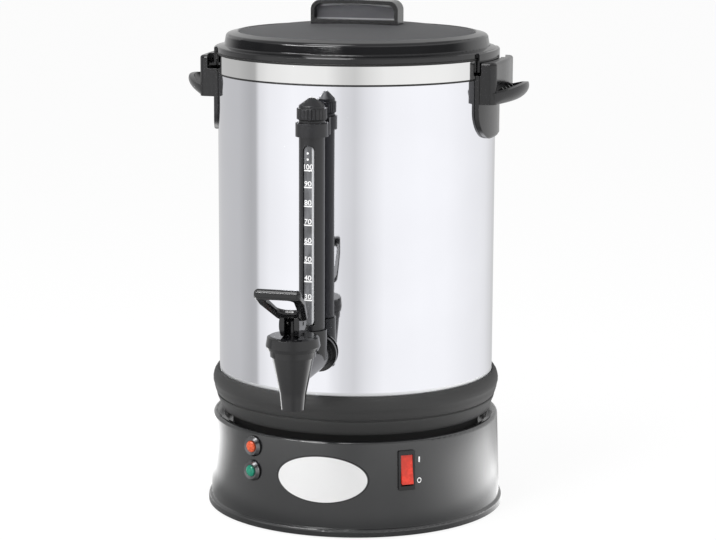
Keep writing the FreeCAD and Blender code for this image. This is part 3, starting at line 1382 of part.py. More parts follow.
def switch_housing():
    """The switch's black case: flange on the wall, snap-in body behind, well for the rocker."""
    face = switch_face()
    half = SWITCH_WIDTH / 2 - SWITCH_FRAME / 2
    tall = SWITCH_LENGTH / 2 - SWITCH_FRAME / 2
    flange = extruded([
        (-SWITCH_WIDTH / 2, SWITCH_HEIGHT - SWITCH_LENGTH / 2, 1.5),
        (SWITCH_WIDTH / 2, SWITCH_HEIGHT - SWITCH_LENGTH / 2, 1.5),
        (SWITCH_WIDTH / 2, SWITCH_HEIGHT + SWITCH_LENGTH / 2, 1.5),
        (-SWITCH_WIDTH / 2, SWITCH_HEIGHT + SWITCH_LENGTH / 2, 1.5),
    ], "XZ", FRONT * SWITCH_FLANGE, FRONT * face)
    body = block((-half, -face, SWITCH_HEIGHT - tall),
                 (half, -face + SWITCH_BODY_DEPTH, SWITCH_HEIGHT + tall))
    well = block((-ROCKER_WIDTH / 2 - SEAT_GAP, -face - 5, SWITCH_HEIGHT - ROCKER_LENGTH / 2 - 1.0),
                 (ROCKER_WIDTH / 2 + SEAT_GAP, -face + 12, SWITCH_HEIGHT + ROCKER_LENGTH / 2 + 1.0))
    pivot = rod(ROCKER_PIVOT_RADIUS + RUNNING, 40, Vector(-20, rocker_axis_y(), SWITCH_HEIGHT), SIDE)
    reach = block((-half + 0.4, -face - 5, SWITCH_HEIGHT - 5), (half - 0.4, -face + 12, SWITCH_HEIGHT + 5))
    blades = [block((-2.4, -face + SWITCH_BODY_DEPTH, SWITCH_HEIGHT + z - 0.4),
                    (2.4, -face + SWITCH_BODY_DEPTH + 9, SWITCH_HEIGHT + z + 0.4)) for z in (-10, 0, 10)]
    case = joined([flange, body] + blades)
    return on_front(without(case, [well, pivot.common(reach)]))


def rocker_axis_y():
    """Depth of the rocker's pivot behind the switch's face, before the switch is turned into place."""
    return -switch_face() + ROCKER_DEPTH


def switch_rocker():
    """The rocker: two flats that meet at a low ridge, on a pivot through the case."""
    half = ROCKER_LENGTH / 2
    lean = math.tan(math.radians(ROCKER_TILT_ANGLE))
    front = -ROCKER_DEPTH - SWITCH_FLANGE
    paddle = extruded([
        (front - 2.6 + half * lean, -half),
        (front, 0, 12.0),
        (front - 2.6 + half * lean, half),
        (4.0, half - 6.0),
        (4.0, -half + 6.0),
    ], "YZ", SIDE * ROCKER_WIDTH, Vector(-ROCKER_WIDTH / 2, 0, 0))
    shaft_half = (SWITCH_WIDTH - SWITCH_FRAME) / 2 - 0.7
    shaft = rod(ROCKER_PIVOT_RADIUS, 2 * shaft_half, SIDE * -shaft_half, SIDE)
    rocker = joined([paddle, shaft])
    rocker.rotate(ORIGIN, SIDE, -ROCKER_TILT_ANGLE)
    return on_front(moved(rocker, 0, rocker_axis_y(), SWITCH_HEIGHT))


def lamp_face(height):
    """Radius at which a lamp's bezel sits on the wall."""
    return wall_radius(height) + 0.45


def lamp_holes():
    """Round holes for the two lamps."""
    radius = LAMP_LENS_RADIUS + LAMP_SLEEVE + SLIP
    start = FRONT * (WALL_HEAD_RADIUS - 2 * LAMP_SLEEVE_DEPTH)
    return [spun(rod(radius, 3 * LAMP_SLEEVE_DEPTH, start + UP * height, FRONT), LAMP_ANGLE)
            for height in LAMP_HEIGHTS.values()]


def on_wall(shape, height):
    """A piece that was turned about Z, laid with its axis out of the wall at the lamps' place."""
    shape = shape.copy()
    shape.rotate(ORIGIN, SIDE, 90)
    return spun(moved(shape, 0, -lamp_face(height), height), LAMP_ANGLE)


def lamp_bezels():
    """The bright cone-shaped rings round both lenses."""
    ring = turned([
        (LAMP_LENS_RADIUS + SLIP, -LAMP_SLEEVE_DEPTH),
        (LAMP_LENS_RADIUS + LAMP_SLEEVE, -LAMP_SLEEVE_DEPTH),
        (LAMP_LENS_RADIUS + LAMP_SLEEVE, 0),
        (LAMP_BEZEL_RADIUS, 0),
        (LAMP_BEZEL_RADIUS, 1.2),
        (LAMP_BEZEL_RADIUS - 2.0, LAMP_BEZEL_HEIGHT),
        (LAMP_LENS_RADIUS + SLIP, LAMP_BEZEL_HEIGHT - 0.8),
    ])
    return [on_wall(ring, height) for height in LAMP_HEIGHTS.values()]


def lamp_lens(height):
    """One domed lens with its stem in the bezel."""
    rise = LAMP_LENS_RISE
    lens = turned([
        (0, 1.0 - LAMP_SLEEVE_DEPTH),
        (LAMP_LENS_RADIUS, 1.0 - LAMP_SLEEVE_DEPTH),
        (LAMP_LENS_RADIUS, rise - 2.4, 2.0),
        (LAMP_LENS_RADIUS / 2, rise - 0.4),
        (0, rise),
    ])
    return on_wall(lens, height)


def single(shape):
    """The one solid of a shape."""
    solids = shape.Solids
    if len(solids) != 1:
        raise ValueError("expected one solid, found %d" % len(solids))
    return solids[0]


def pieces():
    """Every named piece and its solids."""
    return {
        "base_housing": [base_housing()],
        "base_plate": [base_plate()],
        "rubber_feet": rubber_feet(),
        "oval_badge": [badge()],
        "amber_lamp_lens": [lamp_lens(LAMP_HEIGHTS["amber"])],
        "green_lamp_lens": [lamp_lens(LAMP_HEIGHTS["green"])],
        "lamp_bezels": lamp_bezels(),
        "switch_housing": [switch_housing()],
        "switch_rocker": [switch_rocker()],
        "cable_gland": [cable_gland()],
        "gland_nut": [gland_nut()],
        "terminal_block": [terminal_block()],
        "lower_collar": [lower_collar()],
        "collar_screws": collar_screws(),
        "tank_body": [tank_body()],
        "tank_floor": [tank_floor()],
        "rim_band": [rim_band()],
        "right_handle": [handle(0)],
        "left_handle": [handle(HALF_TURN)],
        "handle_screws": handle_screws(),
        "lid": [lid()],
        "lid_seal": [lid_seal()],
        "lid_grip": [lid_grip()],
        "lid_grip_screws": lid_grip_screws(),
        "tap_body": [tap_body()],
        "tap_gasket": [tap_gasket()],
        "tank_gasket": [tank_gasket()],
        "tap_locknut": [tap_locknut()],
        "tap_bonnet": [tap_bonnet()],
        "valve_stem": [valve_stem()],
        "seat_cup": [seat_cup()],
        "tap_spring": [tap_spring()],
        "tap_lever": [tap_lever()],
        "lever_pin": [lever_pin()],
        "gauge_glass": [gauge_glass()],
        "gauge_shroud": [gauge_shroud()],
        "gauge_clip": [gauge_clip()],
        "clip_screw": [clip_screw()],
        "gauge_cap_seal": [cap_seal()],
        "gauge_cap": [gauge_cap()],
        "pump_tube": [pump_tube()],
        "valve_washer": [valve_washer()],
        "filter_basket": [filter_basket()],
        "basket_cover": [basket_cover()],
        "pump_heater": [pump_heater()],
        "warming_element": [warming_element()],
        "heater_clamp": [heater_clamp()],
        "clamp_stud": [clamp_stud()],
        "thermostat": [thermostat(120, 8.0)],
        "thermal_cutout": [thermostat(240, 7.0)],
        "tie_rods": tie_rods(),
        "tie_nuts": tie_nuts(),
    }


os.makedirs("parts", exist_ok=True)
for name, shapes in pieces().items():
    solids = [single(shape) for shape in shapes]
    whole = solids[0] if len(solids) == 1 else Part.makeCompound(solids)
    if not whole.isValid():
        raise ValueError("%s is not a valid solid" % name)
    whole.exportStep("parts/%s.step" % name)
    print("%-18s %2d solid(s) %10.1f mm3" % (name, len(solids), whole.Volume))
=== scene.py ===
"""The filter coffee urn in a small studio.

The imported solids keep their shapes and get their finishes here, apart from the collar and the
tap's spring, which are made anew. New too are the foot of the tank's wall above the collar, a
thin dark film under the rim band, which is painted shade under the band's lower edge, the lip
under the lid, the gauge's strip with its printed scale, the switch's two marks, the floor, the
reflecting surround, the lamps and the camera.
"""

import json
import math

import bpy
from bpy.props import FloatProperty, FloatVectorProperty, IntProperty
from bpy.types import Operator, Panel, PropertyGroup
from mathutils import Matrix, Vector


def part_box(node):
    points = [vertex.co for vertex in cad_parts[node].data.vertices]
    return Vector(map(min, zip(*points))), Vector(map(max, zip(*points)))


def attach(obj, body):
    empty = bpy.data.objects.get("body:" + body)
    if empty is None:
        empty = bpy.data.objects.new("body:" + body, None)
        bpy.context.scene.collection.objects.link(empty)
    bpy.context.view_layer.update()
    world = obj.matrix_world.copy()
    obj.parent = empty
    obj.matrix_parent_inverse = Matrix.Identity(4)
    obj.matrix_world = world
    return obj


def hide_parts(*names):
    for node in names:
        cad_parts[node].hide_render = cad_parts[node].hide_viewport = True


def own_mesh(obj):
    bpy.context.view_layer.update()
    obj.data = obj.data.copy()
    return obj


bl_info = {
    "name": "Filter coffee urn",
    "version": (1, 0, 0),
    "blender": (4, 5, 0),
    "location": "View3D > Sidebar > Coffee urn",
    "description": "Finishes, collar, spring, beads, printed marks and studio for the coffee urn",
    "category": "Object",
}

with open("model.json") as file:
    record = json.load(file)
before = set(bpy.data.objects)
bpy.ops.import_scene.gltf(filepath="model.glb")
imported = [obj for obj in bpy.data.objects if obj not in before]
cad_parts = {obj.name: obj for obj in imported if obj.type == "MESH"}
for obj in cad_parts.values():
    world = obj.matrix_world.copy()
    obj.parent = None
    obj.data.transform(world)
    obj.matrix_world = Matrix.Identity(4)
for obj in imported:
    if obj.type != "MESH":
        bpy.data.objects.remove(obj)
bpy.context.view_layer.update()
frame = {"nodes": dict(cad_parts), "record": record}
MM = 0.001
FULL_TURN = 360.0
BLACK = (0.0, 0.0, 0.0, 1.0)
WHITE = (1.0, 1.0, 1.0, 1.0)


# Nodes of a material, written as plain sums

class Wire:
    """A value on its way through a material. Sums on wires add the Math nodes they need."""

    def __init__(self, finish, socket):
        self.finish = finish
        self.socket = socket

    def _sum(self, operation, *values):
        inputs = dict(enumerate((self,) + values))
        return self.finish.add("ShaderNodeMath", {"operation": operation}, inputs)

    def __add__(self, other):
        return self._sum("ADD", other)

    __radd__ = __add__

    def __sub__(self, other):
        return self._sum("SUBTRACT", other)

    def __rsub__(self, other):
        return self.finish.add("ShaderNodeMath", {"operation": "SUBTRACT"}, {0: other, 1: self})

    def __mul__(self, other):
        return self._sum("MULTIPLY", other)

    __rmul__ = __mul__

    def __truediv__(self, other):
        return self._sum("DIVIDE", other)

    def __pow__(self, other):
        return self._sum("POWER", other)

    def __neg__(self):
        return self * -1

    def __abs__(self):
        return self._sum("ABSOLUTE")

    def above(self, limit):
        """1 where the value is above the limit, and 0 elsewhere."""
        return self._sum("GREATER_THAN", limit)

    def fade(self, low, high, start=0.0, end=1.0):
        """Runs smoothly from start at low to end at high, and stays there beyond."""
        return self.finish.add("ShaderNodeMapRange", {"interpolation_type": "SMOOTHSTEP"},
                               {"Value": self, "From Min": low, "From Max": high,
                                "To Min": start, "To Max": end})


class Finish:
    """The nodes of one finish."""

    def __init__(self, name):
        self.material = bpy.data.materials.new(name)
        self.material.use_nodes = True
        self.tree = self.material.node_tree
        self.shader = self.tree.nodes["Principled BSDF"]

    def put(self, node, values):
        """Sets or links sockets by name or number."""
        for key, value in values.items():
            socket = node.inputs[key]
            if isinstance(value, Wire):
                self.tree.links.new(value.socket, socket)
            else:
                socket.default_value = value

    def add(self, kind, settings=None, values=None, output=0):
        """Adds a node: its settings first, then its sockets. A ramp's stops are a setting too."""
        node = self.tree.nodes.new(kind)
        for key, value in (settings or {}).items():
            if key == "stops":
                self.set_stops(node.color_ramp, value)
            else:
                setattr(node, key, value)
        self.put(node, values or {})
        return Wire(self, node.outputs[output])

    @staticmethod
    def set_stops(ramp, stops):
        """Gives a ramp its stops, each a place from 0 to 1 and a grey."""
        while len(ramp.elements) > 1:
            ramp.elements.remove(ramp.elements[-1])
        for i, (place, grey) in enumerate(stops):
            element = ramp.elements[0] if i == 0 else ramp.elements.new(place)
            element.position = place
            element.color = (grey, grey, grey, 1.0)

    def place(self):
        """The point on the object, in metres, as a vector."""
        return self.add("ShaderNodeTexCoord", output=3)

    def axes(self):
        """The point on the object, in metres, as three wires."""
        split = self.add("ShaderNodeSeparateXYZ", None, {0: self.place()})
        outputs = split.socket.node.outputs
        return [Wire(self, outputs[i]) for i in range(3)]

    def noise(self, scale, detail=2.0, stretch=(1.0, 1.0, 1.0)):
        """Soft noise from 0 to 1. Scale is in waves per metre, and stretch makes it streaky."""
        point = self.add("ShaderNodeMapping", None, {"Vector": self.place(), "Scale": stretch})
        return self.add("ShaderNodeTexNoise", None,
                        {"Vector": point, "Scale": scale, "Detail": detail})

    def mix(self, share, first, second):
        """A colour between two."""
        node = self.tree.nodes.new("ShaderNodeMix")
        node.data_type = "RGBA"
        self.put(node, {0: share, 6: first, 7: second})
        return Wire(self, node.outputs[2])

    def bump(self, height, strength, distance, edge=0.0):
        """A normal that follows a height, on edges that look rounded by that radius."""
        values = {"Height": height, "Strength": strength, "Distance": distance}
        if edge:
            values["Normal"] = self.add("ShaderNodeBevel", {"samples": 4}, {"Radius": edge})
        return self.add("ShaderNodeBump", None, values)

    def set(self, **values):
        """Sets the shader's sockets; an underscore stands for a space."""
        self.put(self.shader, {key.replace("_", " "): value for key, value in values.items()})
        return self.material


def opaque(colour):
    """A colour with full alpha, as the sockets want it."""
    return (colour[0], colour[1], colour[2], 1.0)


def scaled(colour, factor):
    """A lighter or darker copy of a colour."""
    return tuple(min(1.0, channel * factor) for channel in colour[:3]) + (1.0,)


def dress(piece, material):
    """Gives a piece one finish."""
    piece.data.materials.clear()
    piece.data.materials.append(material)


def give(slot, material):
    """Gives a finish to all CAD nodes of a material slot."""
    for part in frame["record"]["subparts"]:
        if part["material_slot"] == slot:
            dress(frame["nodes"][part["node"]], material)


# Finishes. A pair of lengths is where a change starts and where it ends

TANK_BORE = (144.3 * MM, 144.8 * MM)
SEAM = (0.6 * MM, 1.6 * MM)
SEAM_FROM = 100.0 * MM


def polished_steel(settings, name, colour):
    """Mirror-bright sheet with faint streaks, a weld seam at the back and a satin inside."""
    finish = Finish(name)
    x, y = finish.axes()[:2]
    streaks = finish.noise(60.0, 3.0, (1.0, 1.0, 0.08))
    smudges = finish.noise(9.0, 4.0)
    seam = abs(x).fade(*SEAM, 1.0, 0.0) * y.above(SEAM_FROM)
    tone = finish.mix(smudges.fade(0.35, 0.7), scaled(colour, 0.97), opaque(colour))
    tone = finish.mix(seam * 0.5, tone, scaled(colour, 0.6))
    inside = ((x ** 2 + y ** 2) ** 0.5).fade(*TANK_BORE, 1.0, 0.0)
    roughness = (settings.steel_roughness + streaks * 0.02 + smudges * 0.015 + seam * 0.25
                 + inside * 0.3)
    height = finish.noise(7.0, 1.0, (1.0, 1.0, 0.25)) + seam * 0.3
    return finish.set(Base_Color=tone, Metallic=1.0 - inside * 0.4, Roughness=roughness,
                      Normal=finish.bump(height, 0.12, 0.002))


def moulded(name, colour, roughness, gloss=0.0, grain=1400.0, index=1.5):
    """A moulding: fine grain, slow changes of gloss, and a trace of handling."""
    finish = Finish(name)
    slow = finish.noise(14.0, 3.0)
    fine = finish.noise(grain, 2.0)
    tone = finish.mix(slow.fade(0.3, 0.7), scaled(colour, 0.9), scaled(colour, 1.1))
    return finish.set(Base_Color=tone, Roughness=roughness + slow * 0.08 - 0.04,
                      IOR=index, Coat_Weight=gloss, Coat_Roughness=0.12,
                      Normal=finish.bump(fine, 0.12, 0.0002, 0.7 * MM))


LID_CREASE = (122.0 * MM, 125.0 * MM)
LID_PANEL_FROM = 495.0 * MM


def lid_black(settings):
    """The lid: glossy wall and shoulder, and a satin panel inside the pressed crease."""
    finish = Finish("lid_black")
    x, y, z = finish.axes()
    slow = finish.noise(14.0, 3.0)
    fine = finish.noise(900.0, 2.0)
    panel = ((x ** 2 + y ** 2) ** 0.5).fade(*LID_CREASE, 1.0, 0.0)
    top = panel * z.above(LID_PANEL_FROM)
    tone = finish.mix(slow.fade(0.3, 0.7), scaled(settings.plastic, 0.9),
                      scaled(settings.plastic, 1.1))
    tone = finish.mix(top, tone, opaque(settings.panel))
    return finish.set(Base_Color=tone, Roughness=0.04 + top * 0.56 + slow * 0.03,
                      Normal=finish.bump(fine, 0.10, 0.0002, 0.8 * MM))


GRIP_CROWN_DIAMETER = 0.6
GRIP_WEB_END = (42.2 * MM, 42.8 * MM)
GRIP_WEB_FACE = (3.6 * MM, 3.9 * MM)
GRIP_WEB_TOP = (530.9 * MM, 531.2 * MM)
# Where the painted highlight lines on the grip's web run
GRIP_UPPER_HIGHLIGHT = (528.6 * MM, 529.2 * MM)
GRIP_UPPER_HIGHLIGHT_END = (34.0 * MM, 40.0 * MM)
GRIP_LOWER_HIGHLIGHT = (514.9 * MM, 515.3 * MM)


def grip_black(settings):
    """The lid's grip: a glossy frame round a paler web, with a painted highlight line above and
    below.
    """
    finish = Finish("grip_black")
    x, y, z = finish.axes()
    slow = finish.noise(60.0, 3.0, (0.3, 1.0, 1.0))
    fine = finish.noise(1400.0, 2.0)
    height = z + x * x / GRIP_CROWN_DIAMETER
    web = abs(x).fade(*GRIP_WEB_END, 1.0, 0.0) * abs(y).fade(*GRIP_WEB_FACE, 1.0, 0.0)
    web = web * height.fade(*GRIP_WEB_TOP, 1.0, 0.0)
    # upper and lower are painted highlights: a light line just under the top rail, and one along
    # the web's foot at half strength
    upper = height.fade(*GRIP_UPPER_HIGHLIGHT) * abs(x).fade(*GRIP_UPPER_HIGHLIGHT_END, 1.0, 0.0)
    lower = z.fade(*GRIP_LOWER_HIGHLIGHT, 1.0, 0.0)
    tone = finish.mix(slow.fade(0.3, 0.7), (0.066, 0.066, 0.075, 1.0),
                      (0.094, 0.094, 0.105, 1.0))
    tone = finish.mix(upper + lower * 0.5, tone, (0.7, 0.7, 0.72, 1.0))
    tone = finish.mix(web, scaled(settings.plastic, 0.8), tone)
    return finish.set(Base_Color=tone, Roughness=0.14 + web * 0.25,
                      Normal=finish.bump(fine, 0.10, 0.0002, 0.7 * MM))


BADGE_HALF_WIDTH = 47.8 * MM
BADGE_HALF_HEIGHT = 24.3 * MM
BADGE_HEIGHT = 59.6 * MM
BADGE_RIM_SHADE = (0.968, 0.978)


def enamel_badge(settings):
    """White enamel, with a thin dark line of painted shade along its rim."""
    finish = Finish("badge_white")
    x, y, z = finish.axes()
    across = x * math.cos(settings.badge_turn) + y * math.sin(settings.badge_turn)
    along, up = across / BADGE_HALF_WIDTH, (z - BADGE_HEIGHT) / BADGE_HALF_HEIGHT
    reach = (along ** 2 + up ** 2) ** 0.5
    # Painted shade: a thin dark line round the badge's rim, where its edge is in shade
    edge = reach.fade(*BADGE_RIM_SHADE)
    colour = finish.mix(edge, opaque(settings.badge), (0.012, 0.012, 0.014, 1.0))
    return finish.set(Base_Color=colour, Roughness=0.28 + finish.noise(40.0) * 0.06,
                      Coat_Weight=0.4, Coat_Roughness=0.1)


def lamp_glass(name, colour):
    """A moulded lens: deep colour with a faint glow, and painted highlights where its inner facets
    catch light.
    """
    finish = Finish(name)
    cells = finish.add("ShaderNodeTexVoronoi", None, {"Vector": finish.place(), "Scale": 520.0})
    # The cells also bump the lens; their lighter tone is a painted highlight on its facets
    share = cells.fade(0.1, 0.7)
    tone = finish.mix(share, scaled(colour, 0.8), scaled(colour, 1.25))
    return finish.set(Base_Color=tone, Roughness=0.14 + share * 0.04, IOR=1.5,
                      Emission_Color=tone, Emission_Strength=0.15,
                      Normal=finish.bump(cells, 0.12, 0.0004))


def rocker_red(settings):
    """Translucent red that varies a little at random, with a faint painted glow for light through
    it.
    """
    finish = Finish("switch_red")
    slow = finish.noise(120.0, 2.0)
    tone = finish.mix(slow.fade(0.35, 0.65), scaled(settings.rocker, 0.85),
                      scaled(settings.rocker, 1.15))
    # Painted glow: the emission lights the rocker as if light came through it
    return finish.set(Base_Color=tone, Roughness=0.24 + slow * 0.06,
                      Emission_Color=tone, Emission_Strength=0.2)


def gauge_tube():
    """Clear tube with a faint haze."""
    finish = Finish("clear_glass")
    haze = finish.noise(90.0, 3.0, (1.0, 1.0, 0.2))
    tone = finish.mix(haze.fade(0.35, 0.7), (0.62, 0.64, 0.64, 1.0), (0.8, 0.82, 0.82, 1.0))
    return finish.set(Base_Color=tone, Roughness=0.12 + haze * 0.06, IOR=1.45,
                      Transmission_Weight=0.55)


# Where the strip's painted shade and painted highlight run, across the slot
STRIP_LEFT_SHADE = (-5.4 * MM, -3.6 * MM)
STRIP_RIGHT_HIGHLIGHT = (2.8 * MM, 3.4 * MM)


def scale_strip(settings):
    """The grey strip behind the numerals, mottled, with painted shade at its left and a painted
    highlight along its right edge.
    """
    finish = Finish("scale_strip")
    x = finish.axes()[0]
    haze = finish.noise(160.0, 4.0, (1.0, 1.0, 0.3))
    grain = finish.noise(900.0, 2.0)
    # Painted light: edge is a highlight along the right side for the tube's reflection, and dark is
    # shade towards the slot's left
    edge = x.fade(*STRIP_RIGHT_HIGHLIGHT)
    dark = x.fade(*STRIP_LEFT_SHADE, 0.45, 1.0)
    tone = finish.mix(haze.fade(0.35, 0.68), scaled(settings.strip, 0.72),
                      scaled(settings.strip, 1.5))
    tone = finish.mix(dark, scaled(settings.strip, 0.35), tone)
    tone = finish.mix(edge * haze.fade(0.2, 0.55, 0.72, 1.0), tone, (0.68, 0.69, 0.71, 1.0))
    return finish.set(Base_Color=tone, Roughness=0.16 + grain * 0.06, IOR=1.45,
                      Normal=finish.bump(grain, 0.05, 0.0002))


def bare_metal(name, colour, roughness, blotch=0.9):
    """Plated or cast metal seen only inside or underneath."""
    finish = Finish(name)
    slow = finish.noise(35.0, 4.0)
    fine = finish.noise(700.0, 2.0, (1.0, 1.0, 0.2))
    tone = finish.mix(slow.fade(0.3, 0.7), scaled(colour, blotch), opaque(colour))
    return finish.set(Base_Color=tone, Metallic=1.0, Roughness=roughness + fine * 0.1 - 0.05,
                      Normal=finish.bump(fine, 0.08, 0.0003))


def printed_white():
    """White print, slightly uneven, with a faint painted glow that brightens it."""
    finish = Finish("printed_white")
    slow = finish.noise(300.0, 2.0)
    tone = finish.mix(slow.fade(0.35, 0.7), (0.82, 0.82, 0.82, 1.0), (0.92, 0.92, 0.92, 1.0))
    # Painted glow: the print's emission
    return finish.set(Base_Color=tone, Roughness=0.45 + slow * 0.1, Emission_Color=tone,
                      Emission_Strength=0.3)


def print_finish():
    """The white print's finish, made once for all prints."""
    return bpy.data.materials.get("printed_white") or printed_white()


# Sizes and colours that a user would change

class UrnFinishes(PropertyGroup):
    """Colours and gloss of the urn's surfaces."""

    steel: FloatVectorProperty(
        name="Steel", description="Colour of the polished steel", default=(0.795, 0.80, 0.84),
        subtype="COLOR", min=0, max=1)
    band: FloatVectorProperty(
        name="Rim band", description="Colour of the band round the tank's mouth",
        default=(0.74, 0.74, 0.735), subtype="COLOR", min=0, max=1)
    strip: FloatVectorProperty(
        name="Scale strip", description="Colour behind the numerals",
        default=(0.135, 0.137, 0.145), subtype="COLOR", min=0, max=1)
    steel_roughness: FloatProperty(
        name="Steel roughness", description="0 is a mirror", default=0.03, min=0, max=1,
        subtype="FACTOR")
    base: FloatVectorProperty(
        name="Base", description="Colour of the base moulding", default=(0.013, 0.0137, 0.0147),
        subtype="COLOR", min=0, max=1)
    plastic: FloatVectorProperty(
        name="Black mouldings", description="Lid, handles and collar",
        default=(0.0095, 0.0095, 0.0105), subtype="COLOR", min=0, max=1)
    panel: FloatVectorProperty(
        name="Lid panel", description="Colour of the satin panel on the lid",
        default=(0.062, 0.063, 0.066), subtype="COLOR", min=0, max=1)
    tap: FloatVectorProperty(
        name="Tap", description="Colour of the tap's mouldings", default=(0.0085, 0.0085, 0.0095),
        subtype="COLOR", min=0, max=1)
    gauge: FloatVectorProperty(
        name="Gauge", description="Colour of the gauge's satin mouldings",
        default=(0.0105, 0.0105, 0.0125), subtype="COLOR", min=0, max=1)
    badge: FloatVectorProperty(
        name="Badge", description="Colour of the badge's enamel", default=(0.86, 0.86, 0.86),
        subtype="COLOR", min=0, max=1)
    badge_turn: FloatProperty(
        name="Badge direction", description="From the tap towards the right",
        default=math.radians(1.2), subtype="ANGLE")
    amber: FloatVectorProperty(
        name="Amber lens", description="Colour of the upper lamp", default=(0.60, 0.085, 0.028),
        subtype="COLOR", min=0, max=1)
    green: FloatVectorProperty(
        name="Green lens", description="Colour of the lower lamp", default=(0.008, 0.20, 0.125),
        subtype="COLOR", min=0, max=1)
    rocker: FloatVectorProperty(
        name="Rocker", description="Colour of the switch's rocker", default=(0.58, 0.035, 0.018),
        subtype="COLOR", min=0, max=1)


class GaugeScale(PropertyGroup):
    """The strip in the gauge and the scale printed on it."""

    lowest: IntProperty(
        name="Lowest mark", description="Cups at the lowest mark", default=30, min=0)
    highest: IntProperty(name="Highest mark", description="Cups at the highest mark", default=100)
    step: IntProperty(name="Step", description="Cups from mark to mark", default=10, min=1)
    lowest_height: FloatProperty(
        name="Height of the lowest mark", description="Above the table", default=251.4 * MM,
        unit="LENGTH")
    spacing: FloatProperty(
        name="Spacing", description="From mark to mark", default=18.7 * MM, unit="LENGTH")
    last_spacing: FloatProperty(
        name="Last spacing", description="Under the highest mark", default=16.6 * MM,
        unit="LENGTH")
    numeral_height: FloatProperty(
        name="Numeral height", description="Height of a numeral", default=5.1 * MM, unit="LENGTH")
    numeral_width: FloatProperty(
        name="Numeral width", description="Width of one numeral with its gap", default=3.8 * MM,
        unit="LENGTH")
    widest: FloatProperty(
        name="Widest number", description="Room for a number with three numerals",
        default=9.6 * MM, unit="LENGTH")
    tick_width: FloatProperty(
        name="Line width", description="Length of the line under a numeral", default=8.6 * MM,
        unit="LENGTH")
    tick_thickness: FloatProperty(
        name="Line thickness", description="Thickness of that line", default=1.3 * MM,
        unit="LENGTH")
    inset: FloatProperty(
        name="Inset", description="How far the print sits left of the middle", default=1.0 * MM,
        unit="LENGTH")
    strip_radius: FloatProperty(
        name="Strip radius", description="From the tube's axis to its face", default=11.6 * MM,
        unit="LENGTH")
    strip_width: FloatProperty(
        name="Strip width", description="A little less than the shroud's slot", default=11.5 * MM,
        unit="LENGTH")
    strip_thickness: FloatProperty(
        name="Strip thickness", description="Thickness of the strip", default=1.2 * MM,
        unit="LENGTH")
    strip_foot: FloatProperty(
        name="Strip foot", description="Lower end of the strip above the table",
        default=226.4 * MM, unit="LENGTH")
    strip_head: FloatProperty(
        name="Strip head", description="Upper end of the strip above the table",
        default=404.1 * MM, unit="LENGTH")
    dot_radius: FloatProperty(
        name="Dot radius", description="Radius of the two dots at the head", default=1.1 * MM,
        unit="LENGTH")
    lower_dot: FloatProperty(
        name="Lower dot", description="Height above the table", default=391.0 * MM, unit="LENGTH")
    upper_dot: FloatProperty(
        name="Upper dot", description="Height above the table", default=397.1 * MM, unit="LENGTH")


class BandLine(PropertyGroup):
    """The dark film of painted shade under the rim band, and the lip under the lid's flange."""

    radius: FloatProperty(
        name="Radius", description="Inner radius, close to the wall", default=145.15 * MM,
        unit="LENGTH")
    height: FloatProperty(
        name="Height", description="Height of the bead", default=2.0 * MM, unit="LENGTH")
    bulge: FloatProperty(
        name="Bulge", description="How far its middle stands out", default=0.1 * MM, unit="LENGTH")
    thickness: FloatProperty(
        name="Thickness", description="Thickness of the bead", default=0.15 * MM, unit="LENGTH")
    lip_radius: FloatProperty(
        name="Lip radius", description="Radius of the lip under the lid's flange",
        default=146.2 * MM, unit="LENGTH")
    lip_height: FloatProperty(
        name="Lip height", description="Height of that lip", default=1.85 * MM, unit="LENGTH")
    lip_thickness: FloatProperty(
        name="Lip thickness", description="Thickness of that lip", default=1.2 * MM, unit="LENGTH")


class CollarForm(PropertyGroup):
    """The collar between base and tank."""

    sheet: FloatProperty(
        name="Sheet", description="Thickness of the tank's wall", default=0.8 * MM, unit="LENGTH")
    wall_foot: FloatProperty(
        name="Wall's foot", description="Where the wall stands in the collar", default=142.0 * MM,
        unit="LENGTH")
    edge: FloatProperty(
        name="Edge", description="Rounding of the collar's edges", default=0.5 * MM, unit="LENGTH")


# Distance out from the tank's wall, and height above the table, both in mm
COLLAR_OUTLINE = (
    (0.3, 141.9), (0.3, 145.2), (1.9, 145.3), (3.4, 144.5), (4.8, 142.2), (5.3, 141.5),
    (6.2, 138.8), (6.8, 135.6), (6.75, 132.4), (6.3, 130.6), (5.9, 130.0), (5.5, 126.6),
    (3.9, 121.2), (2.3, 120.4), (2.3, 119.4), (3.2, 118.8), (2.4, 115.8), (0.7, 111.8),
    (-0.4, 108.6), (-1.5, 105.2), (-2.6, 104.2), (-7.2, 103.4), (-14.0, 104.6), (-14.0, 87.2),
    (-25.0, 87.2), (-25.0, 93.2), (-17.0, 93.2), (-17.0, 107.4), (-5.4, 107.4), (-3.8, 111.0),
    (-1.2, 114.5), (-0.4, 119.6), (2.4, 127.0), (3.4, 131.6), (3.3, 135.8), (1.2, 139.4),
    (-3.5, 139.6), (-3.5, 141.9),
)


class CoilSpring(PropertyGroup):
    """The spring that closes the tap."""

    wire: FloatProperty(
        name="Wire", description="Thickness of the wire", default=1.3 * MM, unit="LENGTH")
    turns: IntProperty(name="Turns", description="Number of coils", default=4, min=1)
    lift: FloatProperty(
        name="Lift", description="How far the lever lifts the stem", default=3.0 * MM,
        unit="LENGTH")


class SwitchMarks(PropertyGroup):
    """The on and off marks beside the switch."""

    azimuth: FloatProperty(
        name="Direction", description="From the tap towards the right", default=math.radians(39.5),
        subtype="ANGLE")
    on_height: FloatProperty(
        name="On mark", description="Height above the table", default=78.3 * MM, unit="LENGTH")
    off_height: FloatProperty(
        name="Off mark", description="Height above the table", default=56.6 * MM, unit="LENGTH")
    size: FloatProperty(
        name="Size", description="Height of a mark", default=5.6 * MM, unit="LENGTH")
    reach: FloatProperty(
        name="Reach", description="Radius of the base's wall behind the marks", default=152.6 * MM,
        unit="LENGTH")


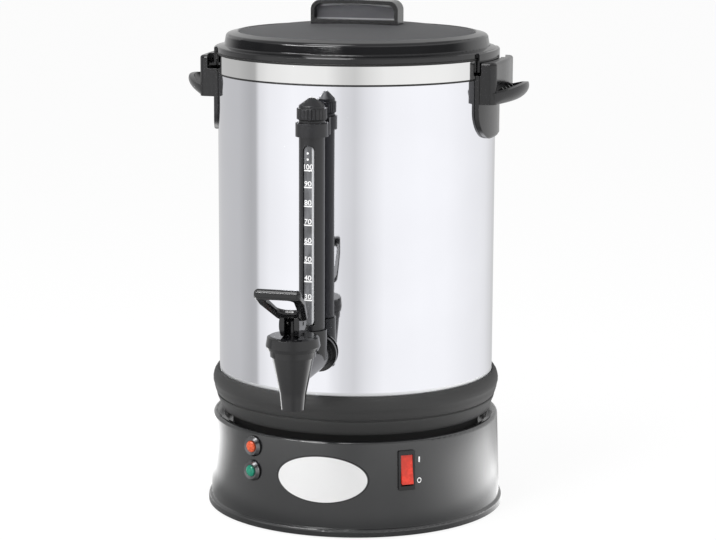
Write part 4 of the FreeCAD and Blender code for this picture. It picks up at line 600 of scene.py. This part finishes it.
class Studio(PropertyGroup):
    """Camera, floor and light."""

    azimuth: FloatProperty(
        name="Camera direction", description="From the tap towards the right",
        default=math.radians(14.3), subtype="ANGLE")
    distance: FloatProperty(
        name="Camera distance", description="From the tank's axis", default=2.451, unit="LENGTH")
    height: FloatProperty(
        name="Camera height", description="Above the table", default=0.702, unit="LENGTH")
    tilt: FloatProperty(
        name="Camera tilt", description="From straight down", default=math.radians(79.51),
        subtype="ANGLE")
    pan: FloatProperty(
        name="Camera pan", description="Turned off the tank's axis, to the right",
        default=math.radians(0.046), subtype="ANGLE")
    roll: FloatProperty(
        name="Camera roll", description="Turned about its own line of sight",
        default=math.radians(0.23), subtype="ANGLE")
    lens: FloatProperty(
        name="Focal length", description="For a picture 36 mm wide, in mm", default=118.16)
    surround: FloatProperty(
        name="Surround", description="Brightness of the reflecting surround", default=1.0, min=0)
    lamps: FloatProperty(name="Lamps", description="Strength of the soft lamps", default=1.0, min=0)


# Steps that several operators share

FILM = 0.05 * MM
PRINT_OFFSET = 0.06 * MM
BOLDER = 0.014
RING_SIDES = 192
SHARP_EDGE = math.radians(35)


def only_selected(thing=None):
    """Leaves one object selected and active, or none."""
    bpy.ops.object.select_all(action="DESELECT")
    if thing:
        thing.select_set(True)
        bpy.context.view_layer.objects.active = thing


def made(name):
    """Names the object that an operator has just added."""
    thing = bpy.context.view_layer.objects.active
    thing.name = name
    thing.data.name = name
    return thing


def applied():
    """Writes the active object's place, turn and size into its mesh."""
    bpy.ops.object.transform_apply(location=True, rotation=True, scale=True)


def modified(thing, kind, **settings):
    """Adds a modifier with these settings to the active object, and applies it."""
    modifier = thing.modifiers.new(kind.lower(), kind)
    for key, value in settings.items():
        setattr(modifier, key, value)
    bpy.ops.object.modifier_apply(modifier=modifier.name)


def joined(things, name):
    """Makes one piece of several."""
    only_selected(things[0])
    for thing in things:
        thing.select_set(True)
    bpy.ops.object.join()
    return made(name)


def written(text, height, width_each):
    """A flat word as a mesh that faces the tap's side, its foot's middle at the origin."""
    only_selected()
    bpy.ops.object.text_add(rotation=(math.pi / 2, 0, 0))
    words = made("words")
    words.data.body = text
    words.data.align_x = "CENTER"
    words.data.size = 1.0
    words.data.offset = BOLDER
    bpy.ops.object.convert(target="MESH")
    applied()
    size = words.dimensions
    low = min(v.co.z for v in words.data.vertices)
    bpy.ops.transform.translate(value=(0, 0, -low))
    bpy.ops.transform.resize(value=(width_each * len(text) / size.x, 1.0, height / size.z),
                             center_override=(0, 0, 0))
    applied()
    return words


def laid_on(thing, target):
    """Presses a print against the curved piece it lies close to, and makes it a thin film."""
    only_selected(thing)
    modified(thing, "SHRINKWRAP", target=target, wrap_method="NEAREST_SURFACEPOINT",
             wrap_mode="ABOVE_SURFACE", offset=PRINT_OFFSET)
    modified(thing, "SOLIDIFY", thickness=FILM, offset=1.0)


def turned_ring(name, outline, edge=0.0):
    """A closed ring round the tank's axis, extruded along an outline of (radius, height)."""
    only_selected()
    radius, height = outline[0]
    bpy.ops.mesh.primitive_circle_add(vertices=RING_SIDES, radius=radius,
                                      location=(0, 0, height))
    piece = made(name)
    applied()
    bpy.ops.object.mode_set(mode="EDIT")
    bpy.ops.mesh.select_all(action="SELECT")
    for next_radius, next_height in outline[1:]:
        rise = (0, 0, next_height - height)
        bpy.ops.mesh.extrude_region_move(TRANSFORM_OT_translate={"value": rise})
        width = next_radius / radius
        bpy.ops.transform.resize(value=(width, width, 1.0), center_override=(0, 0, 0))
        radius, height = next_radius, next_height
    bpy.ops.mesh.select_all(action="DESELECT")
    bpy.ops.mesh.select_mode(type="EDGE")
    bpy.ops.mesh.select_non_manifold()
    bpy.ops.mesh.bridge_edge_loops()
    bpy.ops.mesh.select_all(action="SELECT")
    bpy.ops.mesh.normals_make_consistent(inside=False)
    bpy.ops.object.mode_set(mode="OBJECT")
    if edge:
        modified(piece, "BEVEL", width=edge, segments=2, limit_method="ANGLE",
                 angle_limit=SHARP_EDGE)
    bpy.ops.object.shade_smooth_by_angle(angle=SHARP_EDGE)
    return piece


def cut_in_strips(thing, half_width, pitch):
    """Cuts a flat print by upright planes, so that it can follow a curved wall."""
    only_selected(thing)
    bpy.ops.object.mode_set(mode="EDIT")
    count = int(half_width / pitch)
    for i in range(-count, count + 1):
        bpy.ops.mesh.select_all(action="SELECT")
        bpy.ops.mesh.bisect(plane_co=(i * pitch, 0, 0), plane_no=(1, 0, 0))
    bpy.ops.object.mode_set(mode="OBJECT")


def bead_outline(radius, foot, thickness, height, bulge):
    """The outline of a thin upright ring with a slightly rounded face."""
    face = radius + thickness
    return [(radius, foot), (face, foot), (face + bulge, foot + height / 3),
            (face + bulge, foot + height * 2 / 3), (face, foot + height), (radius, foot + height)]


class COFFEEURN_OT_collar(Operator):
    """Makes the collar with its ridges, and the foot of the tank's wall that shows above it"""

    bl_idname = "coffeeurn.collar"
    bl_label = "Collar"

    def execute(self, context):
        low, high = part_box("tank_body")
        tank_radius = high.x
        form = context.scene.collar_form
        outline = [(tank_radius + out * MM, height * MM) for out, height in COLLAR_OUTLINE]
        ring = turned_ring("collar_ring", outline, form.edge)
        dress(ring, bpy.data.materials["black_plastic"])
        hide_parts("lower_collar")
        inner = tank_radius - form.sheet
        wall = turned_ring("tank_foot", [(inner, form.wall_foot), (tank_radius, form.wall_foot),
                                         (tank_radius, low.z), (inner, low.z)])
        dress(wall, bpy.data.materials["polished_steel"])
        for piece in (ring, wall):
            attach(piece, "urn")
        return {"FINISHED"}


COIL_STEPS = 28


class COFFEEURN_OT_tap_spring(Operator):
    """Winds the spring round the tap's stem"""

    bl_idname = "coffeeurn.tap_spring"
    bl_label = "Tap spring"

    def execute(self, context):
        coil = context.scene.coil_spring
        low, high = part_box("tap_spring")
        height = high.z - low.z
        only_selected()
        bpy.ops.mesh.primitive_circle_add(
            vertices=10, radius=coil.wire / 2, rotation=(math.pi / 2, 0, 0),
            location=((high.x - low.x - coil.wire) / 2, 0, 0))
        wound = made("tap_coil")
        applied()
        modified(wound, "SCREW", angle=2 * math.pi, iterations=coil.turns, steps=COIL_STEPS,
                 render_steps=COIL_STEPS, screw_offset=(height - coil.wire) / coil.turns)
        middle = (low + high) / 2
        bpy.ops.transform.translate(value=(middle.x, middle.y, low.z + coil.wire / 2))
        applied()
        bpy.ops.object.mode_set(mode="EDIT")
        bpy.ops.mesh.select_all(action="SELECT")
        bpy.ops.mesh.fill_holes(sides=0)
        bpy.ops.mesh.select_all(action="SELECT")
        bpy.ops.mesh.normals_make_consistent(inside=False)
        bpy.ops.object.mode_set(mode="OBJECT")
        bpy.ops.object.shade_smooth_by_angle(angle=math.radians(50))
        finish = bpy.data.materials["zinc_steel"]
        dress(wound, finish)
        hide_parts("tap_spring")
        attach(wound, "urn")
        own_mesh(wound)
        return {"FINISHED"}


SHADE_FILM_LAP = 0.05 * MM
LIP_GAP = 0.1 * MM


class COFFEEURN_OT_band_line(Operator):
    """Lays painted shade, a dark film, under the rim band, and the black lip under the lid's flange
    """

    bl_idname = "coffeeurn.band_line"
    bl_label = "Beads at the rim band"

    def execute(self, context):
        bead = context.scene.band_line
        low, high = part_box("rim_band")
        black = moulded("shade_film_and_lip_black", (0.006, 0.006, 0.006, 1.0), 0.4)
        foot = low.z - bead.height + SHADE_FILM_LAP
        # The ring under the band is a dark film put where there is only shade: painted shade under
        # the band's lower edge
        under = turned_ring("band_shade_film", bead_outline(bead.radius, foot, bead.thickness,
                                                      bead.height, bead.bulge))
        inner = bead.lip_radius - bead.lip_thickness
        lip = turned_ring("lid_lip", bead_outline(inner, high.z + LIP_GAP, bead.lip_thickness,
                                                  bead.lip_height, 0.0))
        for piece, body in ((under, "urn"), (lip, "lid_assembly")):
            dress(piece, black)
            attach(piece, body)
        return {"FINISHED"}


class COFFEEURN_OT_steel(Operator):
    """Gives the tank and its rim band their polished steel"""

    bl_idname = "coffeeurn.steel"
    bl_label = "Polished steel"

    def execute(self, context):
        finishes = context.scene.urn_finishes
        give("polished_steel", polished_steel(finishes, "polished_steel", finishes.steel))
        dress(frame["nodes"]["rim_band"],
              polished_steel(finishes, "band_steel", finishes.band))
        return {"FINISHED"}


class COFFEEURN_OT_mouldings(Operator):
    """Gives the base, lid, handles, collar, tap and gauge their plastics"""

    bl_idname = "coffeeurn.mouldings"
    bl_label = "Mouldings"

    def execute(self, context):
        finishes = context.scene.urn_finishes
        give("base_grey", moulded("base_grey", finishes.base, 0.22, 0.5, index=1.6))
        give("black_plastic", moulded("black_plastic", finishes.plastic, 0.2))
        dress(frame["nodes"]["lid"], lid_black(finishes))
        dress(frame["nodes"]["lid_grip"], grip_black(finishes))
        give("tap_black", moulded("tap_black", finishes.tap, 0.11))
        satin = moulded("gauge_black", finishes.gauge, 0.3)
        for name in ("gauge_shroud", "gauge_clip", "gauge_cap"):
            dress(frame["nodes"][name], satin)
        give("white_plastic", moulded("white_plastic", (0.8, 0.8, 0.77), 0.4))
        give("black_rubber", moulded("black_rubber", (0.018, 0.018, 0.018), 0.75, grain=900.0))
        give("silicone", moulded("silicone", (0.016, 0.016, 0.017), 0.5, grain=900.0))
        return {"FINISHED"}


class COFFEEURN_OT_controls(Operator):
    """Gives the badge, the lamps and the rocker their colours"""

    bl_idname = "coffeeurn.controls"
    bl_label = "Badge, lamps and rocker"

    def execute(self, context):
        finishes = context.scene.urn_finishes
        give("badge_white", enamel_badge(finishes))
        give("lens_amber", lamp_glass("lens_amber", finishes.amber))
        give("lens_green", lamp_glass("lens_green", finishes.green))
        give("bezel_chrome", bare_metal("bezel_chrome", (0.18, 0.18, 0.185), 0.24))
        give("switch_red", rocker_red(finishes))
        return {"FINISHED"}


class COFFEEURN_OT_inner_metals(Operator):
    """Gives screws, rods, filter and heaters their metals, and the gauge its tube"""

    bl_idname = "coffeeurn.inner_metals"
    bl_label = "Inner metals and gauge tube"

    def execute(self, context):
        give("zinc_steel", bare_metal("zinc_steel", (0.6, 0.6, 0.58), 0.35))
        give("filter_aluminium", bare_metal("filter_aluminium", (0.78, 0.78, 0.78), 0.3, 0.95))
        give("heater_steel", bare_metal("heater_steel", (0.45, 0.43, 0.4), 0.45, 0.6))
        give("clear_glass", gauge_tube())
        return {"FINISHED"}


NUMERAL_LIFT = 1.1 * MM


class COFFEEURN_OT_gauge_scale(Operator):
    """Fits the strip in the gauge, and prints numerals, lines and dots on it"""

    bl_idname = "coffeeurn.gauge_scale"
    bl_label = "Gauge scale"

    def execute(self, context):
        scale = context.scene.gauge_scale
        low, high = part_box("gauge_glass")
        axis = (low.y + high.y) / 2
        strip = self.strip(scale, axis)
        dress(strip, scale_strip(context.scene.urn_finishes))
        prints = []
        for i, cups in enumerate(range(scale.lowest, scale.highest + 1, scale.step)):
            height = scale.lowest_height + i * scale.spacing
            if cups == scale.highest:
                height += scale.last_spacing - scale.spacing
            numeral = written(str(cups), scale.numeral_height,
                              min(scale.numeral_width, scale.widest / len(str(cups))))
            bpy.ops.transform.translate(value=(-scale.inset, 0, height + NUMERAL_LIFT))
            prints.append(numeral)
            only_selected()
            bpy.ops.mesh.primitive_plane_add(size=1.0, rotation=(math.pi / 2, 0, 0),
                                             location=(-scale.inset, 0, height))
            tick = made("tick")
            tick.scale = (scale.tick_width, scale.tick_thickness, 1.0)
            prints.append(tick)
        for height in (scale.lower_dot, scale.upper_dot):
            only_selected()
            bpy.ops.mesh.primitive_circle_add(
                vertices=16, radius=scale.dot_radius, fill_type="NGON",
                rotation=(math.pi / 2, 0, 0), location=(-scale.inset, 0, height))
            prints.append(made("dot"))
        piece = joined(prints, "gauge_scale")
        applied()
        cut_in_strips(piece, half_width=6 * MM, pitch=0.8 * MM)
        bpy.ops.transform.translate(value=(0, axis - scale.strip_radius, 0))
        applied()
        laid_on(piece, strip)
        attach(strip, "urn")
        dress(piece, print_finish())
        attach(piece, "urn")
        return {"FINISHED"}

    @staticmethod
    def strip(scale, axis):
        """The curved strip that fills the shroud's slot in front of the tube."""
        half = scale.strip_width / 2
        head = scale.strip_head - half
        only_selected()
        bpy.ops.mesh.primitive_circle_add(
            vertices=48, radius=half, fill_type="NGON", rotation=(math.pi / 2, 0, 0),
            location=(0, -scale.strip_radius, head))
        piece = made("scale_strip")
        applied()
        bpy.ops.object.mode_set(mode="EDIT")
        bpy.ops.mesh.select_mode(type="VERT")
        bpy.ops.mesh.select_all(action="DESELECT")
        bpy.ops.object.mode_set(mode="OBJECT")
        for vertex in piece.data.vertices:
            vertex.select = vertex.co.z < head - 0.01 * MM
        bpy.ops.object.mode_set(mode="EDIT")
        bpy.ops.transform.translate(value=(0, 0, scale.strip_foot - head + half))
        bpy.ops.object.mode_set(mode="OBJECT")
        cut_in_strips(piece, half_width=half, pitch=0.6 * MM)
        modified(piece, "CAST", cast_type="CYLINDER", factor=1.0, use_z=False,
                 use_radius_as_size=False, size=scale.strip_radius)
        modified(piece, "SOLIDIFY", thickness=scale.strip_thickness, offset=-1.0)
        bpy.ops.object.shade_smooth_by_angle(angle=math.radians(30))
        bpy.ops.transform.translate(value=(0, axis, 0))
        applied()
        return piece


class COFFEEURN_OT_switch_marks(Operator):
    """Prints the on and off marks beside the switch"""

    bl_idname = "coffeeurn.switch_marks"
    bl_label = "Switch marks"

    def execute(self, context):
        marks = context.scene.switch_marks
        prints = []
        for text, height, width in (("I", marks.on_height, 0.3), ("O", marks.off_height, 0.85)):
            mark = written(text, marks.size, marks.size * width)
            bpy.ops.transform.translate(value=(0, 0, height - marks.size / 2))
            prints.append(mark)
        piece = joined(prints, "switch_marks")
        applied()
        cut_in_strips(piece, half_width=3 * MM, pitch=1.0 * MM)
        bpy.ops.transform.translate(value=(0, -marks.reach, 0))
        bpy.ops.transform.rotate(value=-marks.azimuth, orient_axis="Z", center_override=(0, 0, 0))
        applied()
        laid_on(piece, frame["nodes"]["base_housing"])
        dress(piece, print_finish())
        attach(piece, "urn")
        return {"FINISHED"}


# Light. A stop is a direction in degrees, from the tap towards the right, and a brightness

SURROUND_RADIUS = 0.75
SURROUND_HEIGHT = 1.1
SURROUND_BRIGHTEST = 1.25
SURROUND_STOPS = (
    (-180, 0.60), (-141, 0.68), (-124, 0.64), (-90, 0.63), (-74, 0.53), (-69, 0.55), (-65, 0.92),
    (-55, 1.07), (-34, 1.16), (-8, 1.12), (4, 0.86), (13, 0.78), (22, 0.95), (35, 1.12), (64, 1.17),
    (86, 1.16), (113, 1.06), (131, 1.00), (142, 0.92), (160, 0.70), (180, 0.60),
)
FLOOR_BRIGHTEST = 5.0
FLOOR_STOPS = (
    (-180, 0.8), (-158, 0.9), (-140, 1.7), (-124, 3.2), (-108, 3.4), (-94, 1.8), (-80, 0.7),
    (-40, 0.68), (40, 0.75), (54, 0.9), (71, 1.45), (90, 2.6), (100, 3.1), (111, 3.4), (124, 2.8),
    (138, 1.2), (158, 0.4), (180, 0.6),
)

# What the lid's wall reflects: a dim band with one bright streak at its head. Feet and heads are
# in metres above the table, sides in degrees
DIM_DEPTH = 1.05
DIM_FOOT = (0.49, 0.52)
DIM_HEAD = (0.68, 0.74)
DIM_SIDES = (95, 125)
STREAK_BRIGHTNESS = 28.0
STREAK_FOOT = (0.672, 0.684)
STREAK_HEAD = (0.745, 0.760)
STREAK_LEFT = (-52, -44)
STREAK_RIGHT = (-6, 4)


def turns(angles):
    """Degrees as shares of a full turn."""
    return [angle / FULL_TURN for angle in angles]


def surround_light(studio):
    """Soft light that changes round the urn, with a dim band and a bright streak high in front."""
    finish = Finish("surround_light")
    z = finish.axes()[2]
    turn = direction(finish)
    front = abs(turn).fade(*turns(DIM_SIDES), 1.0, 0.0)
    dim = z.fade(*DIM_FOOT) * z.fade(*DIM_HEAD, 1.0, 0.0) * front
    streak = (z.fade(*STREAK_FOOT) * z.fade(*STREAK_HEAD, 1.0, 0.0)
              * turn.fade(*turns(STREAK_LEFT)) * turn.fade(*turns(STREAK_RIGHT), 1.0, 0.0))
    share = SURROUND_BRIGHTEST - dim * DIM_DEPTH + streak * (STREAK_BRIGHTNESS - SURROUND_BRIGHTEST)
    grey = finish.mix(share / STREAK_BRIGHTNESS, BLACK,
                      around_tank(finish, SURROUND_STOPS, SURROUND_BRIGHTEST))
    shine = finish.add("ShaderNodeEmission", None,
                       {"Color": grey, "Strength": STREAK_BRIGHTNESS * studio.surround})
    output = finish.tree.nodes["Material Output"]
    finish.tree.links.new(shine.socket, output.inputs["Surface"])
    finish.material.cycles.emission_sampling = "NONE"
    return finish.material


def direction(finish):
    """The direction round the tank in turns, from the tap at 0 towards the right."""
    x, y = finish.axes()[:2]
    return finish.add("ShaderNodeMath", {"operation": "ARCTAN2"}, {0: x, 1: -y}) / (2 * math.pi)


def around_tank(finish, stops, strongest):
    """A brightness that changes only with the direction round the tank, as a share."""
    ramp = [(0.5 + angle / FULL_TURN, value / strongest) for angle, value in stops]
    return finish.add("ShaderNodeValToRGB", {"stops": ramp}, {"Fac": direction(finish) + 0.5})


# Rings on the floor are given by their radii in metres
FLOOR_PAPER = (0.93, 0.93, 0.93, 1.0)
FLOOR_GLOW = 1.05
FLOOR_GLOW_SHARE = 0.85
UNDER_BASE = (0.2, 0.26)
UNDER_BASE_SHARE = 0.52
BESIDE_BASE = (0.40, 0.62)


def floor_white():
    """Plain pale floor that keeps its shadow, and is brighter at both sides for gloss."""
    finish = Finish("floor_white")
    finish.set(Base_Color=FLOOR_PAPER, Roughness=0.9)
    path = finish.add("ShaderNodeLightPath")
    outputs = path.socket.node.outputs
    seen = Wire(finish, outputs["Is Camera Ray"]) + Wire(finish, outputs["Is Transmission Ray"])
    white = finish.add("ShaderNodeEmission", None, {"Color": WHITE, "Strength": FLOOR_GLOW})
    paper = Wire(finish, finish.shader.outputs[0])
    plain = finish.add("ShaderNodeMixShader", None,
                       {0: seen * FLOOR_GLOW_SHARE, 1: paper, 2: white})
    x, y = finish.axes()[:2]
    reach = (x ** 2 + y ** 2) ** 0.5
    grey = finish.mix(reach.fade(*BESIDE_BASE, 1.0, 0.0),
                      around_tank(finish, SURROUND_STOPS, FLOOR_BRIGHTEST),
                      around_tank(finish, FLOOR_STOPS, FLOOR_BRIGHTEST))
    grey = finish.mix(reach.fade(*UNDER_BASE, UNDER_BASE_SHARE, 1.0), BLACK, grey)
    sides = finish.add("ShaderNodeEmission", None, {"Color": grey, "Strength": FLOOR_BRIGHTEST})
    gloss = Wire(finish, outputs["Is Glossy Ray"])
    mixed = finish.add("ShaderNodeMixShader", None, {0: gloss, 1: plain, 2: sides})
    output = finish.tree.nodes["Material Output"]
    finish.tree.links.new(mixed.socket, output.inputs["Surface"])
    finish.material.cycles.emission_sampling = "NONE"
    return finish.material


FLOOR_SIZE = 80.0
FLOOR_DROP = 0.5 * MM
AMBIENT = 0.55
LAMPS = (
    # name, place, aim (both in metres), size, power, shown in gloss
    ("lamp_above", (-0.35, -0.8, 1.9), (0, 0, 0.3), 0.8, 12.0, True),
    ("lamp_left", (-1.7, -1.4, 1.1), (0, 0, 0.25), 1.2, 7.0, False),
    ("lamp_right", (1.8, -0.6, 0.9), (0, 0, 0.2), 1.2, 9.0, False),
    ("lamp_glint", (-0.55, -1.65, 1.75), (0, 0, 0.35), 0.4, 7.0, True),
)


def soft_lamp(name, place, aim, size, power, shown):
    """A square soft lamp, which gloss shows or not."""
    only_selected()
    line = Vector(aim) - Vector(place)
    turn = line.to_track_quat("-Z", "Y").to_euler()
    bpy.ops.object.light_add(type="AREA", location=place, rotation=turn)
    lamp = made(name)
    lamp.data.size = size
    lamp.data.energy = power
    lamp.visible_camera = False
    lamp.visible_glossy = shown


class COFFEEURN_OT_studio(Operator):
    """Sets up the floor, the surround, the lamps, the world and the camera"""

    bl_idname = "coffeeurn.studio"
    bl_label = "Studio"

    def execute(self, context):
        studio = context.scene.urn_studio
        only_selected()
        bpy.ops.mesh.primitive_plane_add(size=FLOOR_SIZE, location=(0, 0, -FLOOR_DROP))
        floor = made("studio_floor")
        floor.data.materials.append(floor_white())
        only_selected()
        bpy.ops.mesh.primitive_cylinder_add(
            vertices=128, radius=SURROUND_RADIUS, depth=SURROUND_HEIGHT,
            end_fill_type="NOTHING", location=(0, 0, SURROUND_HEIGHT / 2))
        surround = made("studio_surround")
        applied()
        surround.data.materials.append(surround_light(studio))
        surround.visible_camera = False
        surround.visible_diffuse = False
        surround.visible_transmission = False
        surround.visible_shadow = False
        for name, place, aim, size, power, shown in LAMPS:
            soft_lamp(name, place, aim, size, power * studio.lamps, shown)
        self.set_world(context.scene)
        self.set_camera(context.scene, studio)
        context.scene.view_settings.view_transform = "Standard"
        return {"FINISHED"}

    @staticmethod
    def set_world(scene):
        """Even white light; the camera sees plain white."""
        world = bpy.data.worlds.new("studio_world")
        world.use_nodes = True
        tree = world.node_tree
        path = tree.nodes.new("ShaderNodeLightPath")
        strength = tree.nodes.new("ShaderNodeMath")
        strength.operation = "MAXIMUM"
        strength.inputs[1].default_value = AMBIENT
        tree.links.new(path.outputs["Is Camera Ray"], strength.inputs[0])
        background = tree.nodes["Background"]
        background.inputs["Color"].default_value = WHITE
        tree.links.new(strength.outputs[0], background.inputs["Strength"])
        scene.world = world

    @staticmethod
    def set_camera(scene, studio):
        """The camera at the picture's angle."""
        only_selected()
        place = (studio.distance * math.sin(studio.azimuth),
                 -studio.distance * math.cos(studio.azimuth), studio.height)
        bpy.ops.object.camera_add(location=place)
        camera = made("studio_camera")
        turn = Matrix.Rotation(studio.azimuth - studio.pan, 4, "Z")
        turn = turn @ Matrix.Rotation(studio.tilt, 4, "X") @ Matrix.Rotation(studio.roll, 4, "Z")
        camera.rotation_euler = turn.to_euler()
        camera.data.lens = studio.lens
        camera.data.sensor_width = 36.0
        scene.camera = camera


# Panel and registration

class COFFEEURN_PT_panel(Panel):
    """Lists the urn's pieces, finishes and studio"""

    bl_label = "Coffee urn"
    bl_space_type = "VIEW_3D"
    bl_region_type = "UI"
    bl_category = "Coffee urn"

    def draw(self, context):
        column = self.layout.column()
        for operator in OPERATORS:
            column.operator(operator.bl_idname)
        for name, group in GROUPS.items():
            settings = getattr(context.scene, name)
            for key in group.__annotations__:
                column.prop(settings, key)


GROUPS = {
    "urn_finishes": UrnFinishes,
    "gauge_scale": GaugeScale,
    "band_line": BandLine,
    "collar_form": CollarForm,
    "coil_spring": CoilSpring,
    "switch_marks": SwitchMarks,
    "urn_studio": Studio,
}
OPERATORS = (
    COFFEEURN_OT_steel,
    COFFEEURN_OT_mouldings,
    COFFEEURN_OT_controls,
    COFFEEURN_OT_inner_metals,
    COFFEEURN_OT_collar,
    COFFEEURN_OT_tap_spring,
    COFFEEURN_OT_band_line,
    COFFEEURN_OT_gauge_scale,
    COFFEEURN_OT_switch_marks,
    COFFEEURN_OT_studio,
)


def register():
    for group in GROUPS.values():
        bpy.utils.register_class(group)
    for name, group in GROUPS.items():
        setattr(bpy.types.Scene, name, bpy.props.PointerProperty(type=group))
    for operator in OPERATORS:
        bpy.utils.register_class(operator)
    bpy.utils.register_class(COFFEEURN_PT_panel)


def unregister():
    bpy.utils.unregister_class(COFFEEURN_PT_panel)
    for operator in reversed(OPERATORS):
        bpy.utils.unregister_class(operator)
    for name in GROUPS:
        delattr(bpy.types.Scene, name)
    for group in reversed(GROUPS.values()):
        bpy.utils.unregister_class(group)


def main():
    """Builds everything in order."""
    register()
    for operator in OPERATORS:
        group, name = operator.bl_idname.split(".")
        getattr(getattr(bpy.ops, group), name)()


if __name__ == "__main__":
    main()
